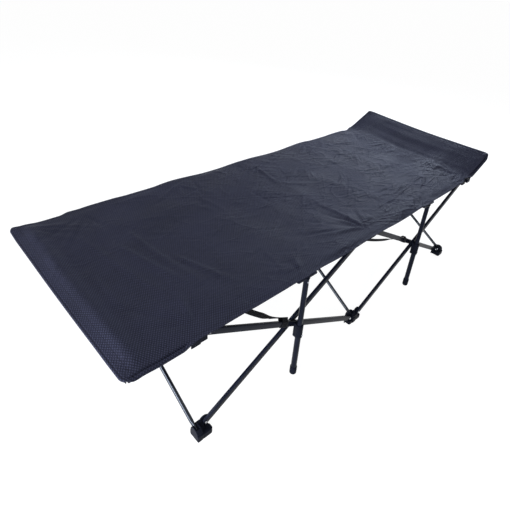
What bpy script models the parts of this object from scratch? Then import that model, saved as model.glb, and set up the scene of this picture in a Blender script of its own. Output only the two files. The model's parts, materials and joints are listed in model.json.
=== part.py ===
# Folding camping cot. X runs along the bed with the head end at +X, Y across it, Z up.
# The origin is on the floor below the middle of the bed. "left" is the -Y side.
# Each long side is two scissor pairs between three hub columns, and each hub column
# is tied to the one across the bed by one more scissor pair, so the whole frame folds at once.
import math

import bmesh
import bpy
from mathutils import Matrix, Vector

for leftover in list(bpy.data.objects):
    bpy.data.objects.remove(leftover, do_unlink=True)

HALF_LENGTH = 0.950
HUB_SPACING = 0.740

# Distances of the vertical planes from the bed's centre plane.
OUTER_PLANE = 0.350
INNER_PLANE = 0.334
POST_PLANE = 0.372
ARM_PLANE = 0.362
CROSS_PIVOT = 0.3425

# A hub's side pivots sit this far along the bed from the hub's own centre.
SIDE_PIVOT = 0.0275
CROSS_SHIFT = 0.0075
FLOOR_PIVOT = 0.026
TOP_PIVOT = 0.418
TOP_FLAT = 0.4325
CROSSING_HEIGHT = (FLOOR_PIVOT + TOP_PIVOT) / 2

# The side tubes are flat-sided: 20 mm tall, 11 mm thick, with ends rounded about their pivots.
SIDE_TUBE_HALF_HEIGHT = 0.010
SIDE_TUBE_HALF_WIDTH = 0.0055
SIDE_TUBE_CORNER = 0.0022
SIDE_TUBE_WALL = 0.0012
CROSS_TUBE_RADIUS = 0.0065
CROSS_TUBE_WALL = 0.001
CROSS_TUBE_END = 0.005
TUBE_SIDES = 10
BORE_SIDES = 8

PIN_RADIUS = 0.003
HOLE_RADIUS = 0.0033
PIN_SIDES = 8
HOLE_SIDES = 6
HEAD_RADIUS = 0.0055
HEAD_THICKNESS = 0.0022

FLOOR_LOBE = 0.018
TOP_LOBE = 0.017
FLOOR_REACH = 0.022
TOP_REACH = 0.017
LOBE_SIDES = 14
CHEEK_THICKNESS = 0.004
SIDE_HALF_WIDTH = 0.0098
FORK_HALF_WIDTH = 0.0097
FORK_SLOT_HALF = 0.007
SIDE_SWING = 0.0103
CROSS_SWING = 0.0086

ARM_RADIUS = 0.006
ARM_WALL = 0.001
ARM_LENGTH = 0.168
ARM_PIVOT = 0.032
ARM_HEIGHT = 0.4267
ARM_HOLE = 0.0028
HEAD_ARM_RISE = math.radians(25)

POST_RADIUS = 0.009
POST_BORE = 0.0079
POST_BOTTOM = 0.040
POST_TOP = 0.427
LEG_RADIUS = 0.0103
LEG_BORE = 0.0094
LEG_BOTTOM = 0.006
LEG_TOP = 0.226
COLLAR_RADIUS = 0.013
COLLAR_BOTTOM = 0.178
COLLAR_TOP = 0.232
COLLAR_BACK = 0.3562
CAP_RADIUS = 0.0123
CAP_HEIGHT = 0.034
CLIP_LENGTH = 0.085
CLIP_WIDTH = 0.014
CLIP_BOTTOM = 0.4275

SHEET_HALF_WIDTH = 0.3725
SHEET_TOP = 0.435
SHEET_THICKNESS = 0.0013
SHEET_SAG = 0.012
SHEET_SAG_REACH = 0.312
HEAD_BEND = 0.770

STRAP_WIDTH = 0.038
STRAP_THICKNESS = 0.0012
STRAP_SAG = 0.110
STRAP_OFFSET = 0.058
STRAP_LIFT = 0.008

SIDES = (("left", -1), ("right", 1))
COLUMNS = (("toe", -1), ("mid", 0), ("head", 1))
ENDS = (("toe", -1), ("head", 1))

parts = bpy.data.collections.new("camping_cot")
bpy.context.scene.collection.children.link(parts)


def make_material(name, color, roughness, metallic):
    material = bpy.data.materials.new(name)
    material.use_nodes = True
    shader = material.node_tree.nodes["Principled BSDF"]
    shader.inputs["Base Color"].default_value = (*color, 1)
    shader.inputs["Roughness"].default_value = roughness
    shader.inputs["Metallic"].default_value = metallic
    return material


powder_coat = make_material("powder_coat", (0.018, 0.019, 0.023), 0.45, 0.2)
gloss_coat = make_material("gloss_coat", (0.014, 0.015, 0.019), 0.22, 0.3)
hub_plastic = make_material("hub_plastic", (0.012, 0.012, 0.014), 0.5, 0.0)
bed_cloth = make_material("bed_cloth", (0.030, 0.033, 0.048), 0.8, 0.0)
webbing = make_material("webbing", (0.012, 0.012, 0.014), 0.85, 0.0)
spacer_nylon = make_material("spacer_nylon", (0.020, 0.020, 0.022), 0.55, 0.0)


def solid_from(bm, name="solid"):
    bmesh.ops.recalc_face_normals(bm, faces=bm.faces)
    mesh = bpy.data.meshes.new(name)
    bm.to_mesh(mesh)
    bm.free()
    solid = bpy.data.objects.new(name, mesh)
    parts.objects.link(solid)
    return solid


def rod(start, end, radius, sides, around=False, end_radius=None):
    """A prism of regular section. With around set, its flats and not its corners are at the radius."""
    start, end = Vector(start), Vector(end)
    turn = (end - start).to_track_quat("Z", "Y").to_matrix().to_4x4()
    place = Matrix.Translation((start + end) / 2) @ turn
    if around:
        radius /= math.cos(math.pi / sides)
    bm = bmesh.new()
    bmesh.ops.create_cone(
        bm, cap_ends=True, segments=sides, radius1=radius, radius2=end_radius or radius,
        depth=(end - start).length, matrix=place,
    )
    return solid_from(bm)


def block(x_range, y_range, z_range, rounding=0.0, segments=1):
    """A box whose upright edges may be rounded."""
    low = Vector((min(x_range), min(y_range), min(z_range)))
    high = Vector((max(x_range), max(y_range), max(z_range)))
    bm = bmesh.new()
    place = Matrix.Translation((low + high) / 2) @ Matrix.Diagonal((*(high - low), 1))
    bmesh.ops.create_cube(bm, size=1, matrix=place)
    if rounding:
        upright = [e for e in bm.edges if abs(e.verts[0].co.z - e.verts[1].co.z) > 1e-6]
        bmesh.ops.bevel(bm, geom=upright, offset=rounding, segments=segments, affect="EDGES", profile=0.5)
    return solid_from(bm)


def combine(base, operation, tools):
    """Applies a Boolean of each tool in turn to the base, and removes the tools."""
    for tool in tools:
        modifier = base.modifiers.new("combine", "BOOLEAN")
        modifier.operation = operation
        modifier.solver = "EXACT"
        modifier.object = tool
        graph = bpy.context.evaluated_depsgraph_get()
        mesh = bpy.data.meshes.new_from_object(base.evaluated_get(graph))
        base.modifiers.clear()
        base.data = mesh
        bpy.data.objects.remove(tool, do_unlink=True)
    return base


def finish(solid, name, material, origin=(0, 0, 0), flat_faces=True):
    """Names the piece, moves its origin onto its joint, and gives it its material."""
    mesh = solid.data
    bm = bmesh.new()
    bm.from_mesh(mesh)
    bmesh.ops.remove_doubles(bm, verts=bm.verts, dist=2e-6)
    bmesh.ops.dissolve_degenerate(bm, dist=2e-6, edges=bm.edges)
    if flat_faces:
        bmesh.ops.dissolve_limit(bm, angle_limit=math.radians(0.2), verts=bm.verts, edges=bm.edges)
    bmesh.ops.triangulate(bm, faces=[f for f in bm.faces if len(f.verts) > 4])
    bmesh.ops.translate(bm, verts=bm.verts, vec=-Vector(origin))
    bm.to_mesh(mesh)
    bm.free()
    solid.name = name
    mesh.name = name
    solid.location = origin
    mesh.materials.clear()
    mesh.materials.append(material)
    mesh.shade_smooth()
    mesh.set_sharp_from_angle(angle=math.radians(35))
    return solid


def tube(start, end, radius, wall, over):
    """A round tube between two pivots, open at both ends, running past each pivot a little."""
    start, end = Vector(start), Vector(end)
    along = (end - start).normalized()
    outside = rod(start - along * over, end + along * over, radius, TUBE_SIDES)
    bore = rod(start - along * (over + 0.01), end + along * (over + 0.01), radius - wall, BORE_SIDES)
    return combine(outside, "DIFFERENCE", [bore])


def cross_holes(points, axis, radius, reach=0.02):
    axis = Vector(axis)
    return [
        rod(Vector(point) - axis * reach, Vector(point) + axis * reach, radius, HOLE_SIDES, around=True)
        for point in points
    ]


def side_plane(column, level):
    """The end floor hubs and the middle top hub hold the inner tubes, the others the outer ones."""
    inner = (column == 0) == (level == "top")
    return INNER_PLANE if inner else OUTER_PLANE


def cross_offset(side, level):
    """Where along X a hub's cross tube sits. Each cross tube stays in one plane from floor to top."""
    return CROSS_SHIFT * (side if level == "floor" else -side)


def make_hub(name, column, side, level):
    floor = level == "floor"
    centre = column * HUB_SPACING
    plane = side_plane(column, level)
    lobe = FLOOR_LOBE if floor else TOP_LOBE
    reach = FLOOR_REACH if floor else TOP_REACH
    tray_end = 0.036 if floor else 0.041
    pivot = FLOOR_PIVOT if floor else TOP_FLAT - TOP_PIVOT
    height = 0.034 if floor else 0.026

    def lift(z):
        return z if floor else TOP_FLAT - z

    def part(u_range, v_range, z_range, rounding=0.0):
        x_range = [centre + u for u in u_range]
        y_range = [side * v for v in v_range]
        return block(x_range, y_range, [lift(z) for z in z_range], rounding)

    def disc_along_y(u, z, v_range, radius, sides):
        ends = [(centre + u, side * v, lift(z)) for v in v_range]
        return rod(*ends, radius, sides)

    def disc_along_x(u_range, v, z, radius, sides):
        ends = [(centre + u, side * v, lift(z)) for u in u_range]
        return rod(*ends, radius, sides)

    cross = cross_offset(side, level)
    directions = [d for d in (-1, 1) if column == 0 or d == -column]

    body = disc_along_x(
        (cross - FORK_HALF_WIDTH, cross + FORK_HALF_WIDTH), CROSS_PIVOT, pivot, lobe, LOBE_SIDES
    )
    adds = [
        part(
            (cross - FORK_HALF_WIDTH + 0.0003, cross + FORK_HALF_WIDTH - 0.0003),
            (CROSS_PIVOT - reach + 0.002, CROSS_PIVOT + reach),
            (-0.002, pivot - 0.002),
            0.005,
        )
    ]
    core_start = min(0.0, *(-d * 0.012 for d in directions)) if column else -0.0172
    core_end = max(0.0, *(-d * 0.012 for d in directions)) if column else 0.0172
    for d in directions:
        core_start, core_end = min(core_start, d * 0.0172), max(core_end, d * 0.0172)
    adds.append(part((core_start, core_end), (plane - 0.012, plane + 0.012), (-0.003, height), 0.002))
    tray_top = pivot - SIDE_SWING - 0.0004
    for d in directions:
        adds.append(
            part((d * 0.004, d * tray_end), (plane - 0.0122, plane + 0.0122), (-0.001, tray_top), 0.005)
        )
        adds.append(
            disc_along_y(
                d * SIDE_PIVOT, pivot,
                (plane - SIDE_HALF_WIDTH, plane - SIDE_HALF_WIDTH + CHEEK_THICKNESS), lobe, LOBE_SIDES,
            )
        )
    if floor and column:
        # a solid shoulder outside the side tube, out to the cross fork's back
        adds.append(
            part((0, -column * tray_end), (plane + 0.0078, CROSS_PIVOT + reach), (-0.0015, 0.022), 0.007)
        )
    if not floor and column:
        adds.append(part((column * 0.010, column * 0.0385), (0.3518, 0.3724), (-0.002, 0.017), 0.003))
    combine(body, "UNION", adds)

    cuts = [
        part(
            (cross - FORK_SLOT_HALF, cross + FORK_SLOT_HALF),
            (0.300, CROSS_PIVOT + CROSS_SWING),
            (pivot - CROSS_SWING, 0.080),
        ),
        part((-0.060, 0.060), (0.290, 0.390), (-0.010, 0.0)),
    ]
    if not floor and column:
        cuts.append(part((column * 0.0245, column * 0.050), (0.3556, 0.3684), (-0.010, 0.030)))
    combine(body, "DIFFERENCE", cuts)

    pins = [
        disc_along_x(
            (cross - FORK_HALF_WIDTH - 0.0008, cross + FORK_HALF_WIDTH + 0.0008),
            CROSS_PIVOT, pivot, PIN_RADIUS, PIN_SIDES,
        )
    ]
    for d in directions:
        face = plane + SIDE_TUBE_HALF_WIDTH + 0.0004
        pins.append(
            disc_along_y(
                d * SIDE_PIVOT, pivot, (plane - SIDE_HALF_WIDTH + 0.002, face + 0.001), PIN_RADIUS, PIN_SIDES
            )
        )
        pins.append(
            disc_along_y(d * SIDE_PIVOT, pivot, (face, face + HEAD_THICKNESS), HEAD_RADIUS, PIN_SIDES)
        )
    if not floor and column:
        pins.append(
            disc_along_y(column * ARM_PIVOT, TOP_FLAT - ARM_HEIGHT, (0.3535, 0.3710), 0.0025, PIN_SIDES)
        )
    combine(body, "UNION", pins)
    return finish(body, name, hub_plastic, (centre, side * plane, lift(pivot)))


def flat_tube_shell(start, end, half_height, half_width, corner, stations):
    """A closed flat-sided bar. A station is a distance from the start and a share of the half height."""
    start, end = Vector(start), Vector(end)
    along = (end - start).normalized()
    aside = Vector((0, 1, 0))
    up = aside.cross(along)
    bm = bmesh.new()
    rings = []
    for distance, share in stations:
        tall, cut = half_height * share, corner * min(1.0, share * 1.2)
        wide = half_width - cut
        outline = [
            (half_width, tall - cut), (wide, tall), (-wide, tall), (-half_width, tall - cut),
            (-half_width, cut - tall), (-wide, -tall), (wide, -tall), (half_width, cut - tall),
        ]
        rings.append([bm.verts.new(start + along * distance + aside * a + up * b) for a, b in outline])
    for first, second in zip(rings, rings[1:]):
        for k in range(8):
            bm.faces.new((first[k], first[(k + 1) % 8], second[(k + 1) % 8], second[k]))
    bm.faces.new(rings[0])
    bm.faces.new(rings[-1])
    return solid_from(bm)


def flat_tube(start, end):
    """A flat-sided tube whose ends are half circles about the two pivots, open at both ends."""
    length = (Vector(end) - Vector(start)).length
    r = SIDE_TUBE_HALF_HEIGHT
    turn = [math.radians(angle) for angle in (78, 52, 26, 0)]
    near = [(-r * math.sin(angle), math.cos(angle)) for angle in turn]
    far = [(length - distance, share) for distance, share in reversed(near)]
    outside = flat_tube_shell(start, end, r, SIDE_TUBE_HALF_WIDTH, SIDE_TUBE_CORNER, near + far)
    bore = flat_tube_shell(
        start, end, r - SIDE_TUBE_WALL, SIDE_TUBE_HALF_WIDTH - SIDE_TUBE_WALL,
        SIDE_TUBE_CORNER - SIDE_TUBE_WALL / 2, [(-0.02, 1), (length + 0.02, 1)],
    )
    return combine(outside, "DIFFERENCE", [bore])


def make_side_tube(name, side, end, plane):
    """The outer tube of a scissor pair runs from the middle floor hub out to the end top hub."""
    outward = plane == OUTER_PLANE
    near = end * SIDE_PIVOT
    far = end * (HUB_SPACING - SIDE_PIVOT)
    bottom = (near if outward else far, side * plane, FLOOR_PIVOT)
    top = (far if outward else near, side * plane, TOP_PIVOT)
    middle = (Vector(bottom) + Vector(top)) / 2
    body = flat_tube(bottom, top)
    combine(body, "DIFFERENCE", cross_holes((bottom, middle, top), (0, 1, 0), HOLE_RADIUS))
    return finish(body, name, powder_coat, bottom)


def make_cross_tube(name, column, side):
    """Named for the side of its floor hub. The left tube, nearer the toe end, carries the crossing rivet."""
    x = column * HUB_SPACING + cross_offset(side, "floor")
    bottom = (x, side * CROSS_PIVOT, FLOOR_PIVOT)
    top = (x, -side * CROSS_PIVOT, TOP_PIVOT)
    body = tube(bottom, top, CROSS_TUBE_RADIUS, CROSS_TUBE_WALL, CROSS_TUBE_END)
    middle = (x, 0, CROSSING_HEIGHT)
    if side > 0:
        combine(body, "DIFFERENCE", cross_holes((bottom, middle, top), (1, 0, 0), HOLE_RADIUS))
        return finish(body, name, gloss_coat, bottom)
    combine(body, "DIFFERENCE", cross_holes((bottom, top), (1, 0, 0), HOLE_RADIUS))

    def rivet(start, end, radius, sides):
        return rod((x + start, 0, CROSSING_HEIGHT), (x + end, 0, CROSSING_HEIGHT), radius, sides)

    partner_far = 2 * CROSS_SHIFT + CROSS_TUBE_RADIUS
    combine(body, "UNION", [
        rivet(-CROSS_TUBE_RADIUS - 0.0008, partner_far + 0.001, PIN_RADIUS, PIN_SIDES),
        rivet(CROSS_TUBE_RADIUS - 0.0008, CROSS_TUBE_RADIUS + 0.0015, HEAD_RADIUS, PIN_SIDES),
        rivet(partner_far + 0.0004, partner_far + 0.0022, HEAD_RADIUS, PIN_SIDES),
    ])
    return finish(body, name, gloss_coat, bottom)


def make_arm(name, side, end):
    rise = HEAD_ARM_RISE if end > 0 else 0.0
    pivot = Vector((end * (HUB_SPACING + ARM_PIVOT), side * ARM_PLANE, ARM_HEIGHT))
    along = Vector((end * math.cos(rise), 0, math.sin(rise)))
    outside = rod(pivot - along * 0.0035, pivot + along * ARM_LENGTH, ARM_RADIUS, TUBE_SIDES)
    bore = rod(pivot - along * 0.02, pivot + along * (ARM_LENGTH - 0.003), ARM_RADIUS - ARM_WALL, TUBE_SIDES)
    body = combine(outside, "DIFFERENCE", [bore])
    combine(body, "DIFFERENCE", cross_holes((pivot,), (0, 1, 0), ARM_HOLE))
    return finish(body, name, powder_coat, pivot)


def make_post(name, x, side):
    y = side * POST_PLANE
    outside = rod((x, y, POST_BOTTOM), (x, y, POST_TOP), POST_RADIUS, TUBE_SIDES)
    bore = rod((x, y, POST_BOTTOM - 0.01), (x, y, POST_TOP + 0.01), POST_BORE, TUBE_SIDES)
    return finish(combine(outside, "DIFFERENCE", [bore]), name, powder_coat, (x, y, POST_BOTTOM))


def make_clip(name, x, side):
    """The plate under the sheet's edge, with a plug that fits the post's bore."""
    y = side * POST_PLANE
    plate = block(
        (x - CLIP_LENGTH / 2, x + CLIP_LENGTH / 2), (y - CLIP_WIDTH / 2, y + CLIP_WIDTH / 2),
        (CLIP_BOTTOM, TOP_FLAT), 0.004,
    )
    plug = rod((x, y, POST_TOP - 0.018), (x, y, CLIP_BOTTOM + 0.002), 0.0072, TUBE_SIDES)
    return finish(combine(plate, "UNION", [plug]), name, powder_coat, (x, y, POST_TOP))


def make_leg(name, x, side):
    y = side * POST_PLANE
    outside = rod((x, y, LEG_BOTTOM), (x, y, LEG_TOP), LEG_RADIUS, TUBE_SIDES)
    bore = rod((x, y, LEG_BOTTOM - 0.01), (x, y, LEG_TOP + 0.01), LEG_BORE, TUBE_SIDES, around=True)
    return finish(combine(outside, "DIFFERENCE", [bore]), name, powder_coat, (x, y, LEG_TOP))


def make_collar(name, x, side):
    """The sleeve on the leg's top. Its axle carries the side tubes where they cross."""
    y = side * POST_PLANE
    body = rod((x, y, COLLAR_BOTTOM), (x, y, COLLAR_TOP), COLLAR_RADIUS, LOBE_SIDES)
    back = block(
        (x - 0.012, x + 0.012), (side * COLLAR_BACK, y), (COLLAR_BOTTOM + 0.0004, COLLAR_TOP - 0.0004)
    )
    button_way = Vector((0.5, side * math.sqrt(0.75), 0))
    button_root = Vector((x, y, 0.186)) + button_way * 0.0118
    button = rod(button_root, button_root + button_way * 0.0032, 0.0025, PIN_SIDES)
    combine(body, "UNION", [back, button])
    trim = block((x - 0.03, x + 0.03), (side * COLLAR_BACK, side * 0.340), (0.150, 0.260))
    socket = rod((x, y, COLLAR_BOTTOM - 0.01), (x, y, LEG_TOP + 0.0003), LEG_RADIUS + 0.0003, TUBE_SIDES, around=True)
    guide = rod((x, y, LEG_TOP - 0.002), (x, y, COLLAR_TOP + 0.01), POST_RADIUS + 0.0004, TUBE_SIDES, around=True)
    combine(body, "DIFFERENCE", [trim, socket, guide])
    inner_face = INNER_PLANE - SIDE_TUBE_HALF_WIDTH
    axle = rod(
        (x, side * (COLLAR_BACK + 0.0008), CROSSING_HEIGHT), (x, side * (inner_face - 0.001), CROSSING_HEIGHT),
        PIN_RADIUS, PIN_SIDES,
    )
    head = rod(
        (x, side * (inner_face - 0.0004), CROSSING_HEIGHT), (x, side * (inner_face - 0.002), CROSSING_HEIGHT),
        HEAD_RADIUS, PIN_SIDES,
    )
    combine(body, "UNION", [axle, head])
    return finish(body, name, hub_plastic, (x, side * COLLAR_BACK, CROSSING_HEIGHT))


def make_spacer(name, x, side):
    low = INNER_PLANE + SIDE_TUBE_HALF_WIDTH + 0.0003
    high = OUTER_PLANE - SIDE_TUBE_HALF_WIDTH - 0.0003
    ring = rod((x, side * low, CROSSING_HEIGHT), (x, side * high, CROSSING_HEIGHT), 0.007, TUBE_SIDES)
    combine(ring, "DIFFERENCE", cross_holes(((x, side * low, CROSSING_HEIGHT),), (0, 1, 0), HOLE_RADIUS))
    return finish(ring, name, spacer_nylon, (x, side * low, CROSSING_HEIGHT))


def make_cap(name, x, side):
    """The foot cap is a cup round the leg's end, tapered below to a flat sole."""
    y = side * POST_PLANE
    body = rod((x, y, 0.004), (x, y, CAP_HEIGHT), CAP_RADIUS, TUBE_SIDES)
    sole = rod((x, y, 0), (x, y, 0.0042), CAP_RADIUS - 0.004, TUBE_SIDES, end_radius=CAP_RADIUS - 0.0002)
    combine(body, "UNION", [sole])
    socket = rod(
        (x, y, LEG_BOTTOM - 0.0003), (x, y, CAP_HEIGHT + 0.01), LEG_RADIUS + 0.0003, TUBE_SIDES, around=True
    )
    combine(body, "DIFFERENCE", [socket])
    return finish(body, name, hub_plastic, (x, y, 0))


def sheet_height(x, y):
    """Level over the hubs, turned up past the head hubs, and hollow a little between its edges."""
    past = x - HEAD_BEND
    rise = math.tan(HEAD_ARM_RISE) * (past + math.sqrt(past * past + 0.0004)) / 2
    across = max(0.0, 1 - (y / SHEET_SAG_REACH) ** 2) ** 2
    along = 1 - 0.6 * (x / HALF_LENGTH) ** 4
    return SHEET_TOP + rise - SHEET_SAG * across * along


def make_sheet(name):
    columns, rows = 20, 6
    bm = bmesh.new()
    bmesh.ops.create_grid(bm, x_segments=columns, y_segments=rows, size=1)
    for vertex in bm.verts:
        y = vertex.co.y * SHEET_HALF_WIDTH
        x = vertex.co.x * HALF_LENGTH
        vertex.co = (x, y, sheet_height(x, y))
    sheet = solid_from(bm)
    if sheet.data.polygons[0].normal.z < 0:
        sheet.data.flip_normals()
    shell = sheet.modifiers.new("thickness", "SOLIDIFY")
    shell.thickness = SHEET_THICKNESS
    shell.offset = -1
    return finish(sheet, name, bed_cloth, (0, 0, 0), flat_faces=False)


def make_strap(name, end):
    """A slack band across the bed, looped at both ends round the side tube that is the higher one there."""
    plane = OUTER_PLANE if end < 0 else INNER_PLANE
    x = end * HUB_SPACING / 2 - STRAP_OFFSET
    slope = (TOP_PIVOT - FLOOR_PIVOT) / (HUB_SPACING - 2 * SIDE_PIVOT)
    grip_height = CROSSING_HEIGHT + slope * STRAP_OFFSET
    along = Vector((1, 0, -slope)).normalized()
    inner = (SIDE_TUBE_HALF_HEIGHT + 0.0004, SIDE_TUBE_HALF_WIDTH + 0.0004)
    outer = (inner[0] + 0.0018, inner[1] + 0.0018)
    reach = plane - outer[1] + 0.0006
    columns = 14
    bm = bmesh.new()
    bmesh.ops.create_grid(bm, x_segments=1, y_segments=columns, size=1)
    for vertex in bm.verts:
        t = vertex.co.y
        drop = STRAP_SAG * (1 - t * t)
        vertex.co = (x + vertex.co.x * STRAP_WIDTH / 2, t * reach, grip_height + STRAP_LIFT * t * t - drop)
    band = solid_from(bm)
    shell = band.modifiers.new("thickness", "SOLIDIFY")
    shell.thickness = STRAP_THICKNESS
    shell.offset = 0
    shell.use_even_offset = True
    graph = bpy.context.evaluated_depsgraph_get()
    mesh = bpy.data.meshes.new_from_object(band.evaluated_get(graph))
    band.modifiers.clear()
    band.data = mesh
    for side in (-1, 1):
        grip = Vector((x, side * plane, grip_height))
        half = along * STRAP_WIDTH / 2
        loop = flat_tube_shell(grip - half, grip + half, *outer, 0.003, [(0, 1), (STRAP_WIDTH, 1)])
        hole = flat_tube_shell(
            grip - half * 1.5, grip + half * 1.5, *inner, 0.0019, [(0, 1), (STRAP_WIDTH * 1.5, 1)]
        )
        combine(loop, "DIFFERENCE", [hole])
        combine(band, "UNION", [loop])
    return finish(band, name, webbing, (x, 0, grip_height))


for side_name, side in SIDES:
    for column_name, column in COLUMNS:
        for level in ("floor", "top"):
            make_hub(f"{level}_hub_{side_name}_{column_name}", column, side, level)
    for end_name, end in ENDS:
        tail = f"{side_name}_{end_name}"
        crossing = end * HUB_SPACING / 2
        make_side_tube(f"side_tube_{tail}_outer", side, end, OUTER_PLANE)
        make_side_tube(f"side_tube_{tail}_inner", side, end, INNER_PLANE)
        make_spacer(f"crossing_spacer_{tail}", crossing, side)
        make_leg(f"leg_tube_{tail}", crossing, side)
        make_collar(f"leg_collar_{tail}", crossing, side)
        make_cap(f"leg_cap_{tail}", crossing, side)
        make_post(f"centre_post_{tail}", crossing, side)
        make_clip(f"post_clip_{tail}", crossing, side)
        make_arm(f"corner_arm_{tail}", side, end)

for column_name, column in COLUMNS:
    for side_name, side in SIDES:
        make_cross_tube(f"cross_tube_{column_name}_{side_name}", column, side)

for end_name, end in ENDS:
    make_strap(f"strap_{end_name}", end)

make_sheet("bed_sheet")
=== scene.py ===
import json
import math

import bmesh
import bpy
import numpy as np
from mathutils import Matrix, Vector

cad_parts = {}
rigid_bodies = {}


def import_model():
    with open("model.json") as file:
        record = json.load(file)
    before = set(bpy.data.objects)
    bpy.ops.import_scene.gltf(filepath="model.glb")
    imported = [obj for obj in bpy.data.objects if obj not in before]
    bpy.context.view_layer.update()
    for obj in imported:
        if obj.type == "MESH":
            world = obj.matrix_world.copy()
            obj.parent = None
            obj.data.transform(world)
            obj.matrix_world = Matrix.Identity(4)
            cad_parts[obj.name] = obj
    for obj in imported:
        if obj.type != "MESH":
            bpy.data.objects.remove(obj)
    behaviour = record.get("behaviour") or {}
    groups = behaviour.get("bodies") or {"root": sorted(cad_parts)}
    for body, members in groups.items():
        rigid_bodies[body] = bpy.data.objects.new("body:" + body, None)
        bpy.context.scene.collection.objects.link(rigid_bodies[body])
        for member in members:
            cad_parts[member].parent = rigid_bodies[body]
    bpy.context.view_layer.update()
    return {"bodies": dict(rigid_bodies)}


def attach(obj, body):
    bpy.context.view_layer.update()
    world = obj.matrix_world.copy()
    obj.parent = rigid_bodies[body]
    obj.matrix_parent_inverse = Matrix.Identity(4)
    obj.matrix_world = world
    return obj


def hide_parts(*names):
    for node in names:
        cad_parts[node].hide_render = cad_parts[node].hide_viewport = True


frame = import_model()
bodies = frame["bodies"]

# The frame's driving sizes in metres. X runs to the head end, Y across the bed, and left is -Y.
cot = {
    "hubSpacing": 0.740,
    "outerPlane": 0.350,
    "innerPlane": 0.334,
    "postPlane": 0.372,
    "armPlane": 0.3635,
    "crossPivot": 0.3425,
    "sidePivot": 0.0275,
    "crossShift": 0.0075,
    "floorPivot": 0.026,
    "topPivot": 0.418,
    "topFlat": 0.4325,
}
crossingHeight = (cot["floorPivot"] + cot["topPivot"]) / 2
crossingX = cot["hubSpacing"] / 2
sideSlope = (cot["topPivot"] - cot["floorPivot"]) / (cot["hubSpacing"] - 2 * cot["sidePivot"])
sides = (("left", -1), ("right", 1))
ends = (("toe", -1), ("head", 1))
columns = (("toe", -1), ("mid", 0), ("head", 1))
xAxis, yAxis, zAxis = np.eye(3)


# Shader maths: a Value wraps a socket, and an expression on Values adds its Math nodes.
class Value:
    def __init__(self, tree, socket):
        self.tree = tree
        self.socket = socket

    def math(self, operation, *items):
        node = self.tree.nodes.new("ShaderNodeMath")
        node.operation = operation
        for place, item in enumerate(items):
            if isinstance(item, Value):
                self.tree.links.new(item.socket, node.inputs[place])
            else:
                node.inputs[place].default_value = item
        return Value(self.tree, node.outputs[0])

    def __add__(self, other):
        return self.math("ADD", self, other)

    def __sub__(self, other):
        return self.math("SUBTRACT", self, other)

    def __rsub__(self, other):
        return self.math("SUBTRACT", other, self)

    def __mul__(self, other):
        return self.math("MULTIPLY", self, other)

    __radd__ = __add__

    def sine(self):
        return self.math("SINE", self)

    def size(self):
        return self.math("ABSOLUTE", self)


class Finish:
    # A material with one Principled shader. constants go on the shader's own sockets.
    def __init__(self, name, **constants):
        self.material = bpy.data.materials.new(name)
        self.material.use_nodes = True
        self.tree = self.material.node_tree
        self.shader = self.tree.nodes["Principled BSDF"]
        for key, value in constants.items():
            self.shader.inputs[key.replace("_", " ")].default_value = value

    def node(self, kind, settings=None, inputs=None, output=0):
        made = self.tree.nodes.new(kind)
        for key, value in (settings or {}).items():
            setattr(made, key, value)
        for key, value in (inputs or {}).items():
            if isinstance(value, Value):
                self.tree.links.new(value.socket, made.inputs[key])
            else:
                made.inputs[key].default_value = value
        return Value(self.tree, made.outputs[output])

    def place(self):
        # where a point lies on the piece, in metres
        return self.node("ShaderNodeTexCoord", output=3)

    def split(self, vector):
        return [self.node("ShaderNodeSeparateXYZ", inputs={0: vector}, output=k) for k in range(3)]

    def noise(self, scale, detail, roughness=0.5, stretch=(1, 1, 1), vector=None):
        moved = self.node("ShaderNodeMapping", inputs={0: vector or self.place(), 3: stretch})
        settings = {"Vector": moved, "Scale": scale, "Detail": detail, "Roughness": roughness}
        return self.node("ShaderNodeTexNoise", inputs=settings)

    def between(self, value, low, high, fromValue=0.0, toValue=1.0):
        # a smoothstep from fromValue at low to toValue at high
        return self.node(
            "ShaderNodeMapRange", {"interpolation_type": "SMOOTHSTEP"},
            {"Value": value, "From Min": low, "From Max": high, "To Min": fromValue, "To Max": toValue},
        )

    def mix(self, factor, first, second):
        colors = {0: factor, 6: first, 7: second}
        for key in (6, 7):
            if not isinstance(colors[key], Value):
                colors[key] = (*colors[key], 1)
        return self.node("ShaderNodeMix", {"data_type": "RGBA"}, colors, output=2)

    def feed(self, **links):
        for key, value in links.items():
            self.tree.links.new(value.socket, self.shader.inputs[key.replace("_", " ")])

    def bump(self, height, distance, strength):
        relief = {"Height": height, "Distance": distance, "Strength": strength}
        self.feed(Normal=self.node("ShaderNodeBump", inputs=relief))


def smooth(value, low, high):
    # smoothstep: 3t^2 - 2t^3, where t runs from 0 at low to 1 at high
    t = np.clip((np.asarray(value, float) - low) / (high - low), 0, 1)
    return t * t * (3 - 2 * t)


def unit(vector):
    # the vector over its own length
    vector = np.asarray(vector, float)
    return vector / np.linalg.norm(vector)


def gridFaces(rows, across, wrapRows=False, wrapAcross=False):
    # quads over a grid of points, numbered row by row
    rowCount, acrossCount = rows - (not wrapRows), across - (not wrapAcross)
    i, j = np.meshgrid(np.arange(rowCount), np.arange(acrossCount), indexing="ij")
    nextI, nextJ = (i + 1) % rows, (j + 1) % across
    corners = [i * across + j, i * across + nextJ, nextI * across + nextJ, nextI * across + j]
    return np.stack(corners, -1).reshape(-1, 4).tolist()


def ringShell(rings, wrapRows=False):
    # closed rings in a row; the first and last are capped unless the rows close on themselves
    rows, around = rings.shape[:2]
    faces = gridFaces(rows, around, wrapRows, True)
    if not wrapRows:
        faces.append(list(range(around))[::-1])
        faces.append(list(range((rows - 1) * around, rows * around)))
    return rings.reshape(-1, 3), faces


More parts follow.
